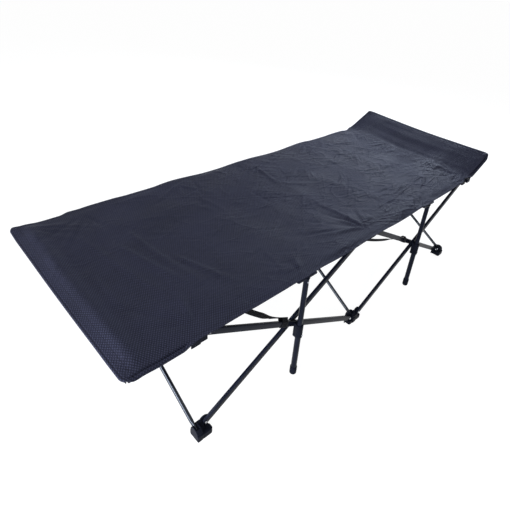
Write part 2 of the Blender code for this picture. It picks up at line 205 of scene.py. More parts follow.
def turned(profile, start, direction, side, around=28, wrapRows=False):
    # point = start + distance*direction + radius*(cos(angle)*side + sin(angle)*up); a profile row is
    # (distance, radius), or (distance, radius along side, radius across it) for an oval
    profile = np.asarray(profile, float)
    direction, side = unit(direction), unit(side)
    up = np.cross(direction, side)
    angle = np.arange(around) * 2 * math.pi / around
    wide = profile[:, 1, None] * np.cos(angle)
    tall = profile[:, -1, None] * np.sin(angle)
    rings = (
        np.asarray(start, float)
        + profile[:, 0, None, None] * direction
        + wide[..., None] * side
        + tall[..., None] * up
    )
    return ringShell(rings, wrapRows)


def prism(outline, low, high, axis):
    # a flat outline, given in the other two axes in order, carried from low to high along one axis
    outline = np.asarray(outline, float)
    rings = np.empty((2, len(outline), 3))
    others = [k for k in range(3) if k != axis]
    rings[:, :, others] = outline
    rings[0, :, axis], rings[1, :, axis] = low, high
    return ringShell(rings)


def roundedOutline(first, second, corner, steps=5):
    # a rectangle whose corners are quarter circles
    (a0, a1), (b0, b1) = sorted(first), sorted(second)
    corner = min(corner, (a1 - a0) / 2.01, (b1 - b0) / 2.01)
    turn = np.linspace(0, math.pi / 2, steps)
    centres = ((a1, b1, 0), (a0, b1, 1), (a0, b0, 2), (a1, b0, 3))
    arcs = []
    for a, b, quarter in centres:
        angle = turn + quarter * math.pi / 2
        centreA = a - corner if quarter in (0, 3) else a + corner
        centreB = b - corner if quarter < 2 else b + corner
        arcs.append(np.stack([centreA + corner * np.cos(angle), centreB + corner * np.sin(angle)], -1))
    return np.concatenate(arcs)


def lobeOutline(centre, pivot, radius, base=0.0, steps=28):
    # a half circle round the pivot, with straight sides down to the base
    angle = np.linspace(0, math.pi, steps)
    arc = np.stack([centre + radius * np.cos(angle), pivot + radius * np.sin(angle)], -1)
    return np.concatenate([arc, [[centre - radius, base], [centre + radius, base]]])


def joinShells(shells):
    # several shells as one: each one's faces are numbered on from the last
    points, faces, start = [], [], 0
    for shellPoints, shellFaces in shells:
        points.append(shellPoints)
        faces.extend([[start + corner for corner in face] for face in shellFaces])
        start += len(shellPoints)
    return np.concatenate(points), faces


def addObject(name, data):
    # an object in the scene's own collection
    made = bpy.data.objects.new(name, data)
    bpy.context.scene.collection.objects.link(made)
    return made


def addPiece(name, shell, sharpAngle=40, outward=True):
    # a mesh object, smooth apart from edges that turn more than the sharp angle
    points, faces = shell
    mesh = bpy.data.meshes.new(name)
    mesh.from_pydata(points.tolist(), [], faces)
    if outward:
        bm = bmesh.new()
        bm.from_mesh(mesh)
        bmesh.ops.recalc_face_normals(bm, faces=bm.faces)
        bm.to_mesh(mesh)
        bm.free()
    mesh.shade_smooth()
    mesh.set_sharp_from_angle(angle=math.radians(sharpAngle))
    return addObject(name, mesh)


def applied(piece):
    # the piece with its modifiers turned into mesh
    graph = bpy.context.evaluated_depsgraph_get()
    mesh = bpy.data.meshes.new_from_object(piece.evaluated_get(graph))
    piece.modifiers.clear()
    old = piece.data
    piece.data = mesh
    name = old.name
    bpy.data.meshes.remove(old)
    mesh.name = name
    return piece


def dress(piece, body, finish, stands=()):
    # a piece that stands for CAD nodes takes their slot too, which has its finish's name
    piece.data.materials.clear()
    piece.data.materials.append(finishes[finish].material)
    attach(piece, body)
    if stands:
        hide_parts(*stands)
    return piece


def addPart(node, part, shell, body, finish, sharpAngle=40):
    # the visible form of one CAD node
    return dress(addPiece(f"{node}_{part}", shell, sharpAngle), body, finish, [node])


def addSteel(name, shells, body, sharpAngle=30):
    # screws, rivets or pins, joined to one piece
    return dress(addPiece(name, joinShells(shells), sharpAngle), body, "steel")


def setUv(mesh, uv):
    # each face corner takes its own point's row of uv
    corner = np.empty(len(mesh.loops), np.int32)
    mesh.loops.foreach_get("vertex_index", corner)
    layer = mesh.uv_layers.new(name="cloth")
    layer.data.foreach_set("uv", uv[corner].astype(np.float32).ravel())


# Finishes
def makePowderCoat(name, tone, roughness, wear, shine, peel):
    # black coat with rubbed streaks and, where peel is above 0, an orange-peel skin that deep in metres
    finish = Finish(name, Specular_IOR_Level=shine, Specular_Tint=(0.80, 0.88, 1.0, 1))
    patches = finish.noise(18, 4)
    rubs = finish.between(finish.noise(60, 6, 0.7, (0.4, 1, 1)), 0.66, 0.80)
    worn = [channel * 2.6 + 0.012 for channel in tone]
    base = finish.mix(finish.between(patches, 0.3, 0.7), tone, [channel * 1.35 for channel in tone])
    finish.feed(
        Base_Color=finish.mix(rubs * wear, base, worn),
        Roughness=finish.between(patches, 0.25, 0.75, roughness - 0.05, roughness + 0.07) + rubs * 0.12,
    )
    if peel:
        finish.bump(finish.noise(900, 2), peel, 0.5)
    return finish


def makePlastic(name, tone, roughness):
    # injection-moulded nylon: fine spark grain, soft sheen patches
    finish = Finish(name, Specular_IOR_Level=0.03, Specular_Tint=(0.75, 0.83, 1.0, 1))
    cloudy = finish.noise(35, 3)
    scuffs = finish.between(finish.noise(140, 6, 0.75), 0.64, 0.78)
    base = finish.mix(finish.between(cloudy, 0.3, 0.7), tone, [channel * 1.5 for channel in tone])
    finish.feed(
        Base_Color=finish.mix(scuffs * 0.35, base, [channel * 3 + 0.01 for channel in tone]),
        Roughness=finish.between(cloudy, 0.3, 0.7, roughness - 0.06, roughness + 0.06),
    )
    finish.bump(finish.noise(2200, 3, 0.7), 0.00006, 0.6)
    return finish


def makeSteel(name):
    # plated steel: one noise moves its tone, gloss and turning marks together
    finish = Finish(name, Metallic=1.0)
    turningMarks = finish.noise(400, 4, 0.6)
    finish.feed(
        Base_Color=finish.mix(turningMarks, (0.42, 0.43, 0.46), (0.66, 0.68, 0.72)),
        Roughness=finish.between(turningMarks, 0.2, 0.8, 0.16, 0.34),
    )
    finish.bump(turningMarks, 0.00003, 0.4)
    return finish


webbingLook = {
    "dark": (0.0035, 0.0035, 0.0050),
    "light": (0.0110, 0.0115, 0.0150),
    "ribPitch": 0.0021,
    "cordPitch": 0.0017,
    "depth": 0.0003,
}


def makeWebbing(name):
    # weave = sine along the band times sine across it, for weft ribs and warp cords
    finish = Finish(name, Roughness=0.85, Specular_IOR_Level=0.10, Sheen_Weight=0.04, Sheen_Roughness=0.5)
    across, along, _ = finish.split(finish.node("ShaderNodeUVMap", {"uv_map": "cloth"}))
    ribs = (along * (2 * math.pi / webbingLook["ribPitch"])).sine()
    cords = (across * (2 * math.pi / webbingLook["cordPitch"])).sine()
    weave = ribs * cords * 0.5 + 0.5
    finish.feed(Base_Color=finish.mix(weave, webbingLook["dark"], webbingLook["light"]))
    finish.bump(weave, webbingLook["depth"], 0.8)
    return finish


# A crease layer is its angle to the bed's length, noise scale, stretch, sharpness and amount.
clothLook = {
    "dark": (0.0126, 0.0128, 0.0200),
    "light": (0.0184, 0.0188, 0.0310),
    "dot": (0.0450, 0.0480, 0.0820),
    "shine": 0.040,
    "roughness": (0.44, 0.56),
    "dotPitch": (0.0072, 0.0100),
    "yarnPitch": 0.0019,
    "creases": (
        (8, 9, 3.4, 7, 1.0), (-30, 11, 3.2, 7, 0.9), (42, 13, 3.0, 6, 0.7), (-6, 20, 3.0, 5, 0.55),
        (24, 28, 2.4, 4, 0.40),
    ),
    "relief": {"weave": 0.35, "creases": 3.2, "crumple": 0.35, "depth": 0.0009, "strength": 0.9},
}


def makeBedCloth(name):
    # coated oxford cloth: dots in offset rows, a bluish shine at low angles, and fine creases all over
    finish = Finish(
        name, Specular_IOR_Level=clothLook["shine"], Specular_Tint=(0.66, 0.78, 1.0, 1),
        Sheen_Weight=0.05, Sheen_Roughness=0.35, Sheen_Tint=(0.50, 0.66, 1.0, 1),
    )
    cloth = finish.node("ShaderNodeUVMap", {"uv_map": "cloth"})
    along, across, _ = finish.split(cloth)
    inRow, fromRow = (2 * math.pi / pitch for pitch in clothLook["dotPitch"])
    dots = (along * inRow).sine() * (across * fromRow).sine()
    fine = 2 * math.pi / clothLook["yarnPitch"]
    yarns = (along * fine).sine() * (across * fine).sine()
    patches = finish.noise(5, 4, 0.55, vector=cloth)
    speckle = finish.noise(260, 2, 0.6, vector=cloth)
    base = finish.mix(finish.between(patches, 0.3, 0.7), clothLook["dark"], clothLook["light"])
    raised = finish.between(dots, -0.2, 0.9)
    dotted = finish.mix(raised * (0.55 + speckle * 0.5), base, clothLook["dot"])

    # a crease line runs where a stretched noise crosses its middle value: max(1 - |2n - 1| * sharpness, 0)^2
    headward = finish.between(along, -0.75, 0.45, 0.30, 1.0) * finish.between(along, 0.70, 0.80, 1.0, 0.08)
    lines = None
    for angle, scale, stretch, sharpness, amount in clothLook["creases"]:
        laid = finish.node(
            "ShaderNodeMapping", {"vector_type": "TEXTURE"},
            {0: cloth, 2: (0, 0, math.radians(angle)), 3: (stretch, 1, 1)},
        )
        field = finish.node(
            "ShaderNodeTexNoise",
            inputs={"Vector": laid, "Scale": scale, "Detail": 2.0, "Roughness": 0.45, "Distortion": 0.6},
        )
        ridge = 1 - (field * 2 - 1).size() * sharpness
        line = ridge.math("MAXIMUM", ridge, 0.0)
        line = line * line * amount
        lines = line if lines is None else lines + line
    lines = lines * finish.between(finish.noise(7, 3, 0.5, vector=cloth), 0.35, 0.62) * headward
    finish.feed(Base_Color=dotted, Roughness=finish.between(patches, 0.3, 0.7, *clothLook["roughness"]))
    relief = clothLook["relief"]
    weave = dots * 0.7 + yarns * 0.3
    height = weave * relief["weave"] + lines * relief["creases"]
    height = height + finish.noise(40, 3, 0.5, vector=cloth) * relief["crumple"]
    finish.bump(height, relief["depth"], relief["strength"])
    return finish


def makeThread(name):
    # sewing thread, a little uneven in tone
    finish = Finish(name, Roughness=0.8, Specular_IOR_Level=0.05, Sheen_Weight=0.05)
    finish.feed(Base_Color=finish.mix(finish.noise(900, 2), (0.012, 0.0125, 0.020), (0.024, 0.025, 0.040)))
    return finish


# Each finish has its slot's name. A coat is its tone, roughness, wear, shine and peel in metres.
finishes = {
    "powder_coat": makePowderCoat("powderCoat", (0.0074, 0.0088, 0.0165), 0.18, 0.15, 0.070, 0.00003),
    "gloss_coat": makePowderCoat("glossCoat", (0.0060, 0.0070, 0.0115), 0.16, 0.02, 0.36, 0.0),
    "hub_plastic": makePlastic("hubPlastic", (0.0075, 0.0085, 0.0140), 0.42),
    "spacer_nylon": makePlastic("spacerNylon", (0.0150, 0.0150, 0.0165), 0.55),
    "steel": makeSteel("steel"),
    "webbing": makeWebbing("webbing"),
    "bed_cloth": makeBedCloth("bedCloth"),
    "thread": makeThread("thread"),
}
print("finishes ready")


# Fasteners
screw = {"radius": 0.0047, "height": 0.0022, "slotWidth": 0.20, "slotReach": 0.62, "slotDepth": 0.55}


def screwShell(centre, axis, radius=None, height=None, recess=True):
    # height(r, angle) = a shallow dome, less a cross-shaped recess whose walls are smoothsteps
    radius, height = radius or screw["radius"], height or screw["height"]
    axis = unit(axis)
    side = unit(np.cross(axis, zAxis if abs(axis[2]) < 0.9 else xAxis))
    up = np.cross(axis, side)
    share = np.concatenate([[1.0, 1.0, 0.985, 0.94], np.linspace(0.86, 0.04, 10)])
    angle = np.arange(32) * 2 * math.pi / 32
    across, along = share[:, None] * np.cos(angle), share[:, None] * np.sin(angle)
    rise = np.sqrt(np.clip(1 - 0.72 * share**2, 0, 1))[:, None] * np.ones(32)
    rise[:4] = np.array([-0.3, 0.18, 0.36, 0.48])[:, None]
    if recess:
        edge = screw["slotWidth"]
        first = smooth(-abs(across), -edge, -0.6 * edge) * smooth(-abs(along), -screw["slotReach"], -0.45)
        second = smooth(-abs(along), -edge, -0.6 * edge) * smooth(-abs(across), -screw["slotReach"], -0.45)
        rise = rise - screw["slotDepth"] * np.maximum(first, second) * (share < 0.8)[:, None]
    rings = (
        np.asarray(centre, float)
        + radius * (across[..., None] * side + along[..., None] * up)
        + height * rise[..., None] * axis
    )
    return ringShell(rings)


# Tubes
tubeSizes = {
    "sideTall": 0.010,
    "sideWide": 0.0055,
    "sideCorner": 0.0026,
    "crossRadius": 0.0065,
    "crossPin": 0.005,
    "flatHalfThickness": 0.0046,
    "flatHalfWidth": 0.0083,
    "flatLength": 0.036,
    "postRadius": 0.009,
    "postBore": 0.0079,
    "legRadius": 0.0103,
    "legBore": 0.0094,
    "armRadius": 0.0042,
}


def pluggedProfile(length, over, radius):
    # a straight tube with a domed plug set a little inside each end's rounded lip
    plug = np.array([
        (-0.0012, 0.10), (-0.0011, 0.45), (-0.0006, 0.72), (0.0002, 0.84),
        (0.0004, 0.885), (0.0000, 0.92), (0.0002, 0.965), (0.0008, 1.0),
    ])
    start = np.stack([plug[:, 0] - over, plug[:, 1] * radius], -1)
    finish = np.stack([length - start[::-1, 0], start[::-1, 1]], -1)
    return np.concatenate([start, finish])


def flattenedProfile(length):
    # a round tube whose ends are pressed to rounded tongues: half a circle round each pivot, then an ease
    thick, wide, radius = (tubeSizes[key] for key in ("flatHalfThickness", "flatHalfWidth", "crossRadius"))
    bow = np.radians(np.linspace(9, 90, 8))
    tip = np.stack([-wide * np.cos(bow), thick * (0.35 + 0.65 * np.sin(bow)), wide * np.sin(bow)], -1)
    along = np.linspace(0.006, tubeSizes["flatLength"], 8)
    ease = smooth(along, 0.008, tubeSizes["flatLength"])
    neck = np.stack([along, thick + (radius - thick) * ease, wide + (radius - wide) * ease], -1)
    start = np.concatenate([tip, neck])
    finish = start[::-1].copy()
    finish[:, 0] = length - finish[:, 0]
    return np.concatenate([start, finish])


def flatTube(start, finish):
    # a flat-sided tube whose ends are half circles round the two pivots: half height = sqrt(r^2 - s^2)
    start, finish = np.asarray(start, float), np.asarray(finish, float)
    length = np.linalg.norm(finish - start)
    along = (finish - start) / length
    up = np.cross(yAxis, along)
    turn = np.radians(np.linspace(86, 0, 10))
    tip = -tubeSizes["sideTall"] * np.sin(turn)
    distances = np.concatenate([tip, length - tip[::-1]])
    share = np.concatenate([np.cos(turn), np.cos(turn)[::-1]])
    rings = []
    for distance, part in zip(distances, share):
        tall = tubeSizes["sideTall"] * part
        wide = tubeSizes["sideWide"] - 0.0006 * (1 - min(1.0, part * 3)) ** 2
        outline = roundedOutline((-wide, wide), (-tall, tall), tubeSizes["sideCorner"], 6)
        rings.append(start + along * distance + outline[:, :1] * yAxis + outline[:, 1:] * up)
    return ringShell(np.array(rings))


def addSideTube(sideName, side, endName, end, which):
    # an outer tube rises from the middle floor hub to the end's top hub, an inner one from end to middle
    outer = which == "outer"
    y = side * (cot["outerPlane"] if outer else cot["innerPlane"])
    near, far = end * cot["sidePivot"], end * (cot["hubSpacing"] - cot["sidePivot"])
    bottom = np.array([near if outer else far, y, cot["floorPivot"]])
    top = np.array([far if outer else near, y, cot["topPivot"]])
    body = f"{sideName}_{endName}_{which}"
    addPart(f"side_tube_{body}", "tube", flatTube(bottom, top), body, "powder_coat")


def crossOffset(side, level):
    # a pair's tubes pass beside each other, and each ends on its own side of the column's middle
    return (side if level == "floor" else -side) * cot["crossShift"]


def addCrossTube(columnName, column, sideName, side):
    # from this side's floor hub up to the other side's top hub
    x = column * cot["hubSpacing"] + crossOffset(side, "floor")
    bottom = np.array([x, side * cot["crossPivot"], cot["floorPivot"]])
    top = np.array([x, -side * cot["crossPivot"], cot["topPivot"]])
    body = f"{columnName}_cross_{sideName}"
    shell = turned(flattenedProfile(np.linalg.norm(top - bottom)), bottom, top - bottom, xAxis, 32)
    addPart(f"cross_tube_{columnName}_{sideName}", "tube", shell, body, "gloss_coat")
    if side < 0:
        # the pair's rivet: a head on each outer face, and a collar between the tubes
        radius, pin = tubeSizes["crossRadius"], tubeSizes["crossPin"]
        partner = column * cot["hubSpacing"] + crossOffset(1, "floor")
        collar = [(radius - 0.0006, pin), (radius + 0.0016, pin)]
        heads = [
            screwShell((x - radius + 0.0002, 0, crossingHeight), (-1, 0, 0), height=0.0018),
            screwShell((partner + radius + 0.0003, 0, crossingHeight), (1, 0, 0), height=0.0018),
            turned(collar, (x, 0, crossingHeight), xAxis, yAxis, 24),
        ]
        addSteel(f"cross_rivet_{columnName}", heads, body, 40)


for sideName, side in sides:
    for endName, end in ends:
        for which in ("outer", "inner"):
            addSideTube(sideName, side, endName, end, which)
for columnName, column in columns:
    for sideName, side in sides:
        addCrossTube(columnName, column, sideName, side)
print("tubes ready")

# Hubs. Their own axes are u along the bed from the hub's centre, v out from the bed's centre plane,
# and w up from the hub's flat base, which is on top in a top hub.
hub = {
    "floor": {"lobe": 0.018, "reach": 0.022, "tray": 0.036, "height": 0.034},
    "top": {"lobe": 0.017, "reach": 0.017, "tray": 0.041, "height": 0.026},
    "forkHalf": 0.0097,
    "slotHalf": 0.0070,
    "cheek": 0.004,
    "sideHalf": 0.0098,
    "crossSwing": 0.0090,
    "sideSwing": 0.0103,
    "coreHalf": 0.0120,
    "coreReach": 0.0172,
    "trayHalf": 0.0122,
    "trayGap": 0.0004,
    "shoulderStart": 0.0078,
    "shoulderHeight": 0.022,
    "corners": {"fork": 0.004, "core": 0.003, "tray": 0.006, "shoulder": 0.007},
    "screwHeights": {"cross": 0.0022, "outside": 0.0024, "inside": 0.0014},
    "voxel": 0.00085,
    "softening": 4,
}
# The fork that holds a corner arm is a bridge and two walls, each (reach along, two places across, corner).
armFork = {
    "start": 0.010,
    "height": 0.017,
    "boxes": (
        (0.0245, 0.3518, 0.3706, 0.002), (0.0385, 0.3518, 0.3588, 0.002), (0.0385, 0.3682, 0.3706, 0.001),
    ),
}


def box(u, v, w, corner):
    # a block with rounded upright edges
    return prism(roundedOutline(u, v, corner), min(w), max(w), 2)


def hubShells(column, side, level):
    # blocks and lobes in the hub's own axes, and its screws as (place, axis, height)
    floor = level == "floor"
    size = hub[level]
    pivot = cot["floorPivot"] if floor else cot["topFlat"] - cot["topPivot"]
    inner = (column == 0) == (level == "top")
    plane = cot["innerPlane"] if inner else cot["outerPlane"]
    cross = crossOffset(side, level)
    crossPlane, swing, corners = cot["crossPivot"], hub["crossSwing"], hub["corners"]
    directions = [d for d in (-1, 1) if column == 0 or d == -column]

    # the cross fork: two lobes on a wider foot, a closed back and a floor between them
    foot = (crossPlane - size["reach"] + 0.002, crossPlane + size["reach"])
    lobeShape = lobeOutline(crossPlane, pivot, size["lobe"])
    shells = []
    for sign in (-1, 1):
        wall = sorted([cross + sign * hub["slotHalf"], cross + sign * hub["forkHalf"]])
        shells.append(prism(lobeShape, *wall, 0))
        shells.append(prism(roundedOutline(foot, (0, pivot - 0.002), corners["fork"]), *wall, 0))
    back = lobeShape.copy()
    back[:, 0] = np.maximum(back[:, 0], crossPlane + swing)
    fork = (cross - hub["forkHalf"], cross + hub["forkHalf"])
    shells.append(prism(back, *fork, 0))
    shells.append(box(fork, (crossPlane + swing, foot[1]), (0, pivot - 0.002), corners["fork"]))
    shells.append(box(fork, foot, (0, pivot - swing), corners["fork"]))
    # the core, then a cheek and a tray for each side tube
    half, reach, tray = hub["coreHalf"], hub["coreReach"], hub["trayHalf"]
    span = [-reach, reach] if column == 0 else sorted([column * half, -column * reach])
    shells.append(box(span, (plane - half, plane + half), (0, size["height"]), corners["core"]))
    trayTop = pivot - hub["sideSwing"] - hub["trayGap"]
    for d in directions:
        along = (d * 0.004, d * size["tray"])
        shells.append(box(along, (plane - tray, plane + tray), (0, trayTop), corners["tray"]))
        cheek = lobeOutline(d * cot["sidePivot"], pivot, size["lobe"], 0.003)
        shells.append(prism(cheek, plane - hub["sideHalf"], plane - hub["sideHalf"] + hub["cheek"], 1))
    if column and floor:
        # the shoulder outside the side tube
        along, across = (0, -column * size["tray"]), (plane + hub["shoulderStart"], foot[1])
        shells.append(box(along, across, (0, hub["shoulderHeight"]), corners["shoulder"]))
    if column and not floor:
        for far, low, high, corner in armFork["boxes"]:
            along = (column * armFork["start"], column * far)
            shells.append(box(along, (low, high), (0, armFork["height"]), corner))

    # screws: on the cross fork's faces that look along the bed, and on both sides of each side tube
    heights = hub["screwHeights"]
    heads = [
        ((cross + sign * hub["forkHalf"], crossPlane, pivot), (sign, 0, 0), heights["cross"])
        for sign in (-1, 1) if sign != column
    ]
    for d in directions:
        outside = plane + tubeSizes["sideWide"] + 0.0002
        inside = plane - hub["sideHalf"] + 0.0002
        heads.append(((d * cot["sidePivot"], outside, pivot), (0, 1, 0), heights["outside"]))
        heads.append(((d * cot["sidePivot"], inside, pivot), (0, -1, 0), heights["inside"]))
    return shells, heads


def addHub(sideName, side, columnName, column, level):
    # the blocks are fused by a voxel remesh and softened, like a moulding
    floor = level == "floor"

    def world(points):
        points = np.asarray(points, float)
        lifted = points[..., 2] if floor else cot["topFlat"] - points[..., 2]
        return np.stack([column * cot["hubSpacing"] + points[..., 0], side * points[..., 1], lifted], -1)

    shells, heads = hubShells(column, side, level)
    name = f"{level}_hub_{sideName}_{columnName}"
    body = f"hub_{sideName}_{columnName}_{level}"
    piece = addPiece(f"{name}_moulding", joinShells([(world(points), faces) for points, faces in shells]))
    fuse = piece.modifiers.new("fuse", "REMESH")
    fuse.mode = "VOXEL"
    fuse.voxel_size = hub["voxel"]
    fuse.use_smooth_shade = True
    soften = piece.modifiers.new("soften", "SMOOTH")
    soften.factor = 0.5
    soften.iterations = hub["softening"]
    dress(applied(piece), body, "hub_plastic", [name])
    flip = np.array([1, side, 1 if floor else -1])
    # only the high heads have a driver recess
    screws = [
        screwShell(world(np.array(place)), np.array(axis) * flip, height=height, recess=height > 0.002)
        for place, axis, height in heads
    ]
    addSteel(f"{name}_screws", screws, body)


for sideName, side in sides:
    for columnName, column in columns:
        for level in ("floor", "top"):
            addHub(sideName, side, columnName, column, level)
print("hubs ready")

# Centre posts, telescoping legs and their fittings
leg = {
    "postBottom": 0.040,
    "postTop": 0.427,
    "bottom": 0.006,
    "top": 0.226,
    "collarBottom": 0.178,
    "collarTop": 0.232,
    "collarRadius": 0.013,
    "collarBack": 0.0158,
    "collarHalf": 0.012,
    "guideBore": 0.0093,
    "socketBore": 0.0106,
    "boltRadius": 0.003,
    "capRadius": 0.0123,
    "capHeight": 0.034,
    "clipLength": 0.085,
    "clipWidth": 0.014,
    "clipBottom": 0.4275,
    "buttonHeight": 0.186,
}
spacer = {"radius": 0.007, "bore": 0.0034, "bevel": 0.0004, "gap": 0.0003}


def pipeProfile(low, high, radius, bore):
    # the wall's closed outline, with rounded lips
    lip = (radius - bore) * 0.35
    return [
        (low, radius - lip), (low + lip, radius), (high - lip, radius), (high, radius - lip),
        (high, bore + lip), (high - lip, bore), (low + lip, bore), (low, bore + lip),
    ]


def groove(start, width, depth, radius=0.0):
    # four rows of a profile: a ring cut in to the depth, with sloped flanks
    return [
        (start, radius), (start + 0.0006, radius - depth),
        (start + width - 0.0006, radius - depth), (start + width, radius),
    ]


def collarShell(x, side):
    # radius(angle, height): the larger of a circle and a box towards the crossing, cut flat at the back
    count = 72
    angle = np.arange(count) * 2 * math.pi / count
    toBack, aside = np.cos(angle), abs(np.sin(angle))
    backRay = leg["collarBack"] / np.maximum(toBack, 1e-6)
    boxRay = np.minimum(backRay, leg["collarHalf"] / np.maximum(aside, 1e-6))
    outline = np.where(toBack > 0, np.maximum(leg["collarRadius"], boxRay), leg["collarRadius"])
    outline = np.where(toBack > 0, np.minimum(outline, backRay), outline)
    low, high = leg["collarBottom"], leg["collarTop"]
    steps = [(low, -0.0012), (low + 0.0004, -0.0004), (low + 0.0012, 0)]
    steps += groove(0.1885, 0.0024, 0.0008) + groove(0.2240, 0.0026, 0.0009)
    steps += [(high - 0.0012, 0), (high - 0.0004, -0.0004), (high, -0.0012)]
    # then down inside: a guide for the post, and a socket for the leg
    guide, socket, seat = leg["guideBore"], leg["socketBore"], leg["top"]
    inside = [
        (high, guide + 0.0005), (high - 0.003, guide), (seat, guide), (seat - 0.0005, socket), (low, socket),
    ]
    heights = np.array([height for height, _ in steps + inside])
    radii = np.array([outline + inset for _, inset in steps] + [np.full(count, bore) for _, bore in inside])
    rings = np.stack([
        x + radii * np.sin(angle),
        side * (cot["postPlane"] - radii * np.cos(angle)),
        heights[:, None] * np.ones(count),
    ], -1)
    return ringShell(rings, wrapRows=True)


def capProfile():
    # a cup for the leg's foot: a tapered sole, two grip grooves and a rounded rim
    radius, height, tube = leg["capRadius"], leg["capHeight"], tubeSizes["legRadius"]
    sole = [(0.0, radius - 0.0040), (0.0006, radius - 0.0030), (0.0042, radius - 0.0002), (0.0060, radius)]
    grooves = groove(0.0125, 0.0024, 0.0006, radius) + groove(0.0195, 0.0024, 0.0006, radius)
    rim = [(height - 0.0010, radius), (height, radius - 0.0008), (height, tube + 0.0005)]
    inside = [(height - 0.0008, tube + 0.0002), (0.0057, tube + 0.0002), (0.0057, 0.0010)]
    return sole + grooves + rim + inside


def clipShell(x, y):
    # a rounded plate under the sheet's edge, with a ferrule that plugs the post
    across, along = leg["clipWidth"] / 2, leg["clipLength"] / 2
    outline = roundedOutline((x - along, x + along), (y - across, y + across), 0.0045)
    bevel, low, high = 0.0008, leg["clipBottom"], cot["topFlat"]
    rings = []
    for height, inset in ((low, bevel), (low + bevel, 0), (high - bevel, 0), (high, bevel)):
        toward = np.sign(outline - np.array([x, y])) * inset
        rings.append(np.column_stack([outline - toward, np.full(len(outline), height)]))
    ferrule = [
        (0.409, 0.0072), (0.409, 0.0076), (0.4268, 0.0076),
        (0.4270, 0.0104), (0.4272, 0.0108), (0.4280, 0.0108),
    ]
    return joinShells([ringShell(np.array(rings)), turned(ferrule, (x, y, 0), zAxis, xAxis, 36)])


def spacerProfile():
    # a bevelled ring between the crossing tubes
    radius, bore, bevel, gap = (spacer[key] for key in ("radius", "bore", "bevel", "gap"))
    low = cot["innerPlane"] + tubeSizes["sideWide"] + gap
    high = cot["outerPlane"] - tubeSizes["sideWide"] - gap
    return [
        (low, radius - bevel), (low + bevel, radius), (high - bevel, radius), (high, radius - bevel),
        (high, bore), (low, bore),
    ]


def addPost(sideName, side, endName, end):
    # a post in its leg tube, with the collar, bolt and spacer of the crossing and the clip on top
    x, y = end * crossingX, side * cot["postPlane"]
    foot = np.array([x, y, 0.0])
    tail = f"{sideName}_{endName}"
    legBody, postBody = f"{tail}_leg", f"{tail}_post"
    post = pipeProfile(leg["postBottom"], leg["postTop"], tubeSizes["postRadius"], tubeSizes["postBore"])
    shell = turned(post, foot, zAxis, xAxis, 36, True)
    addPart(f"centre_post_{tail}", "tube", shell, postBody, "powder_coat")
    pipe = pipeProfile(leg["bottom"], leg["top"], tubeSizes["legRadius"], tubeSizes["legBore"])
    shell = turned(pipe, foot, zAxis, xAxis, 36, True)
    addPart(f"leg_tube_{tail}", "tube", shell, legBody, "powder_coat")
    addPart(f"leg_cap_{tail}", "foot", turned(capProfile(), foot, zAxis, xAxis, 40), legBody, "hub_plastic")

    # the collar, with the bolt that the side tubes turn on and the leg's snap button
    addPart(f"leg_collar_{tail}", "sleeve", collarShell(x, side), legBody, "hub_plastic")
    innerFace = cot["innerPlane"] - tubeSizes["sideWide"]
    boltStart, boltRadius = cot["postPlane"] - leg["collarBack"], leg["boltRadius"]
    bolt = [(-0.001, boltRadius), (boltStart - innerFace, boltRadius)]
    toButton = np.array([0.5, side * math.sqrt(0.75), 0])
    button = np.array([x, y, leg["buttonHeight"]]) + toButton * (leg["collarRadius"] - 0.0006)
    addSteel(f"crossing_bolt_{tail}", [
        turned(bolt, (x, side * boltStart, crossingHeight), (0, -side, 0), xAxis, 20),
        screwShell((x, side * innerFace, crossingHeight), (0, -side, 0), height=0.0020),
        screwShell(button, toButton, 0.0027, 0.0030, recess=False),
    ], legBody)

    addPart(f"post_clip_{tail}", "plate", clipShell(x, y), postBody, "powder_coat", 30)
    rivets = [
        screwShell((x + reach, y + side * 0.0005, leg["clipBottom"]), (0, 0, -1), 0.0032, 0.0014, False)
        for reach in (-0.030, 0.030)
    ]
    rivets.append(screwShell((x, y + side * 0.0088, 0.414), (0, side, 0), 0.0030, 0.0014, False))
    addSteel(f"clip_rivets_{tail}", rivets, postBody)

    shell = turned(spacerProfile(), (x, 0, crossingHeight), (0, side, 0), xAxis, 28, True)
    addPart(f"crossing_spacer_{tail}", "ring", shell, f"{tail}_outer", "spacer_nylon")


for sideName, side in sides:
    for endName, end in ends:
        addPost(sideName, side, endName, end)
print("posts and legs ready")

# Corner arms, which hold the sheet's corners out
arm = {"pivot": 0.032, "height": 0.4254, "length": 0.160, "over": 0.0035, "headRise": math.radians(25)}


def addArm(sideName, side, endName, end):
    # level at the toe end, and rising with the sheet at the head end
    rise = arm["headRise"] if end > 0 else 0.0
    pivot = np.array([end * (cot["hubSpacing"] + arm["pivot"]), side * cot["armPlane"], arm["height"]])
    along = np.array([end * math.cos(rise), 0, math.sin(rise)])
    rod = pluggedProfile(arm["length"], arm["over"], tubeSizes["armRadius"])
    shell = turned(rod, pivot, along, yAxis, 24)
    addPart(f"corner_arm_{sideName}_{endName}", "rod", shell, f"{sideName}_{endName}_arm", "powder_coat")


for sideName, side in sides:
    for endName, end in ends:
        addArm(sideName, side, endName, end)
print("arms ready")

# Webbing straps. The toe one holds the outer side tubes and the head one the inner, where they are higher.
strap = {
    "width": 0.030,
    "thickness": 0.0014,
    "sag": {"toe": 0.106, "head": 0.132},
    "offset": 0.058,
    "wrapTall": 0.0110,
    "wrapWide": 0.0065,
    "wrapCorner": 0.0034,
    "tail": 0.030,
    "stand": {"toe": 0.010, "head": 0.004},
    "cageHalf": (0.03, 0.42),
    "cageHeights": (0.05, 0.30),
    "floorShare": {0.5: 0.45, 0.25: 0.75, 0: 0.85},
}


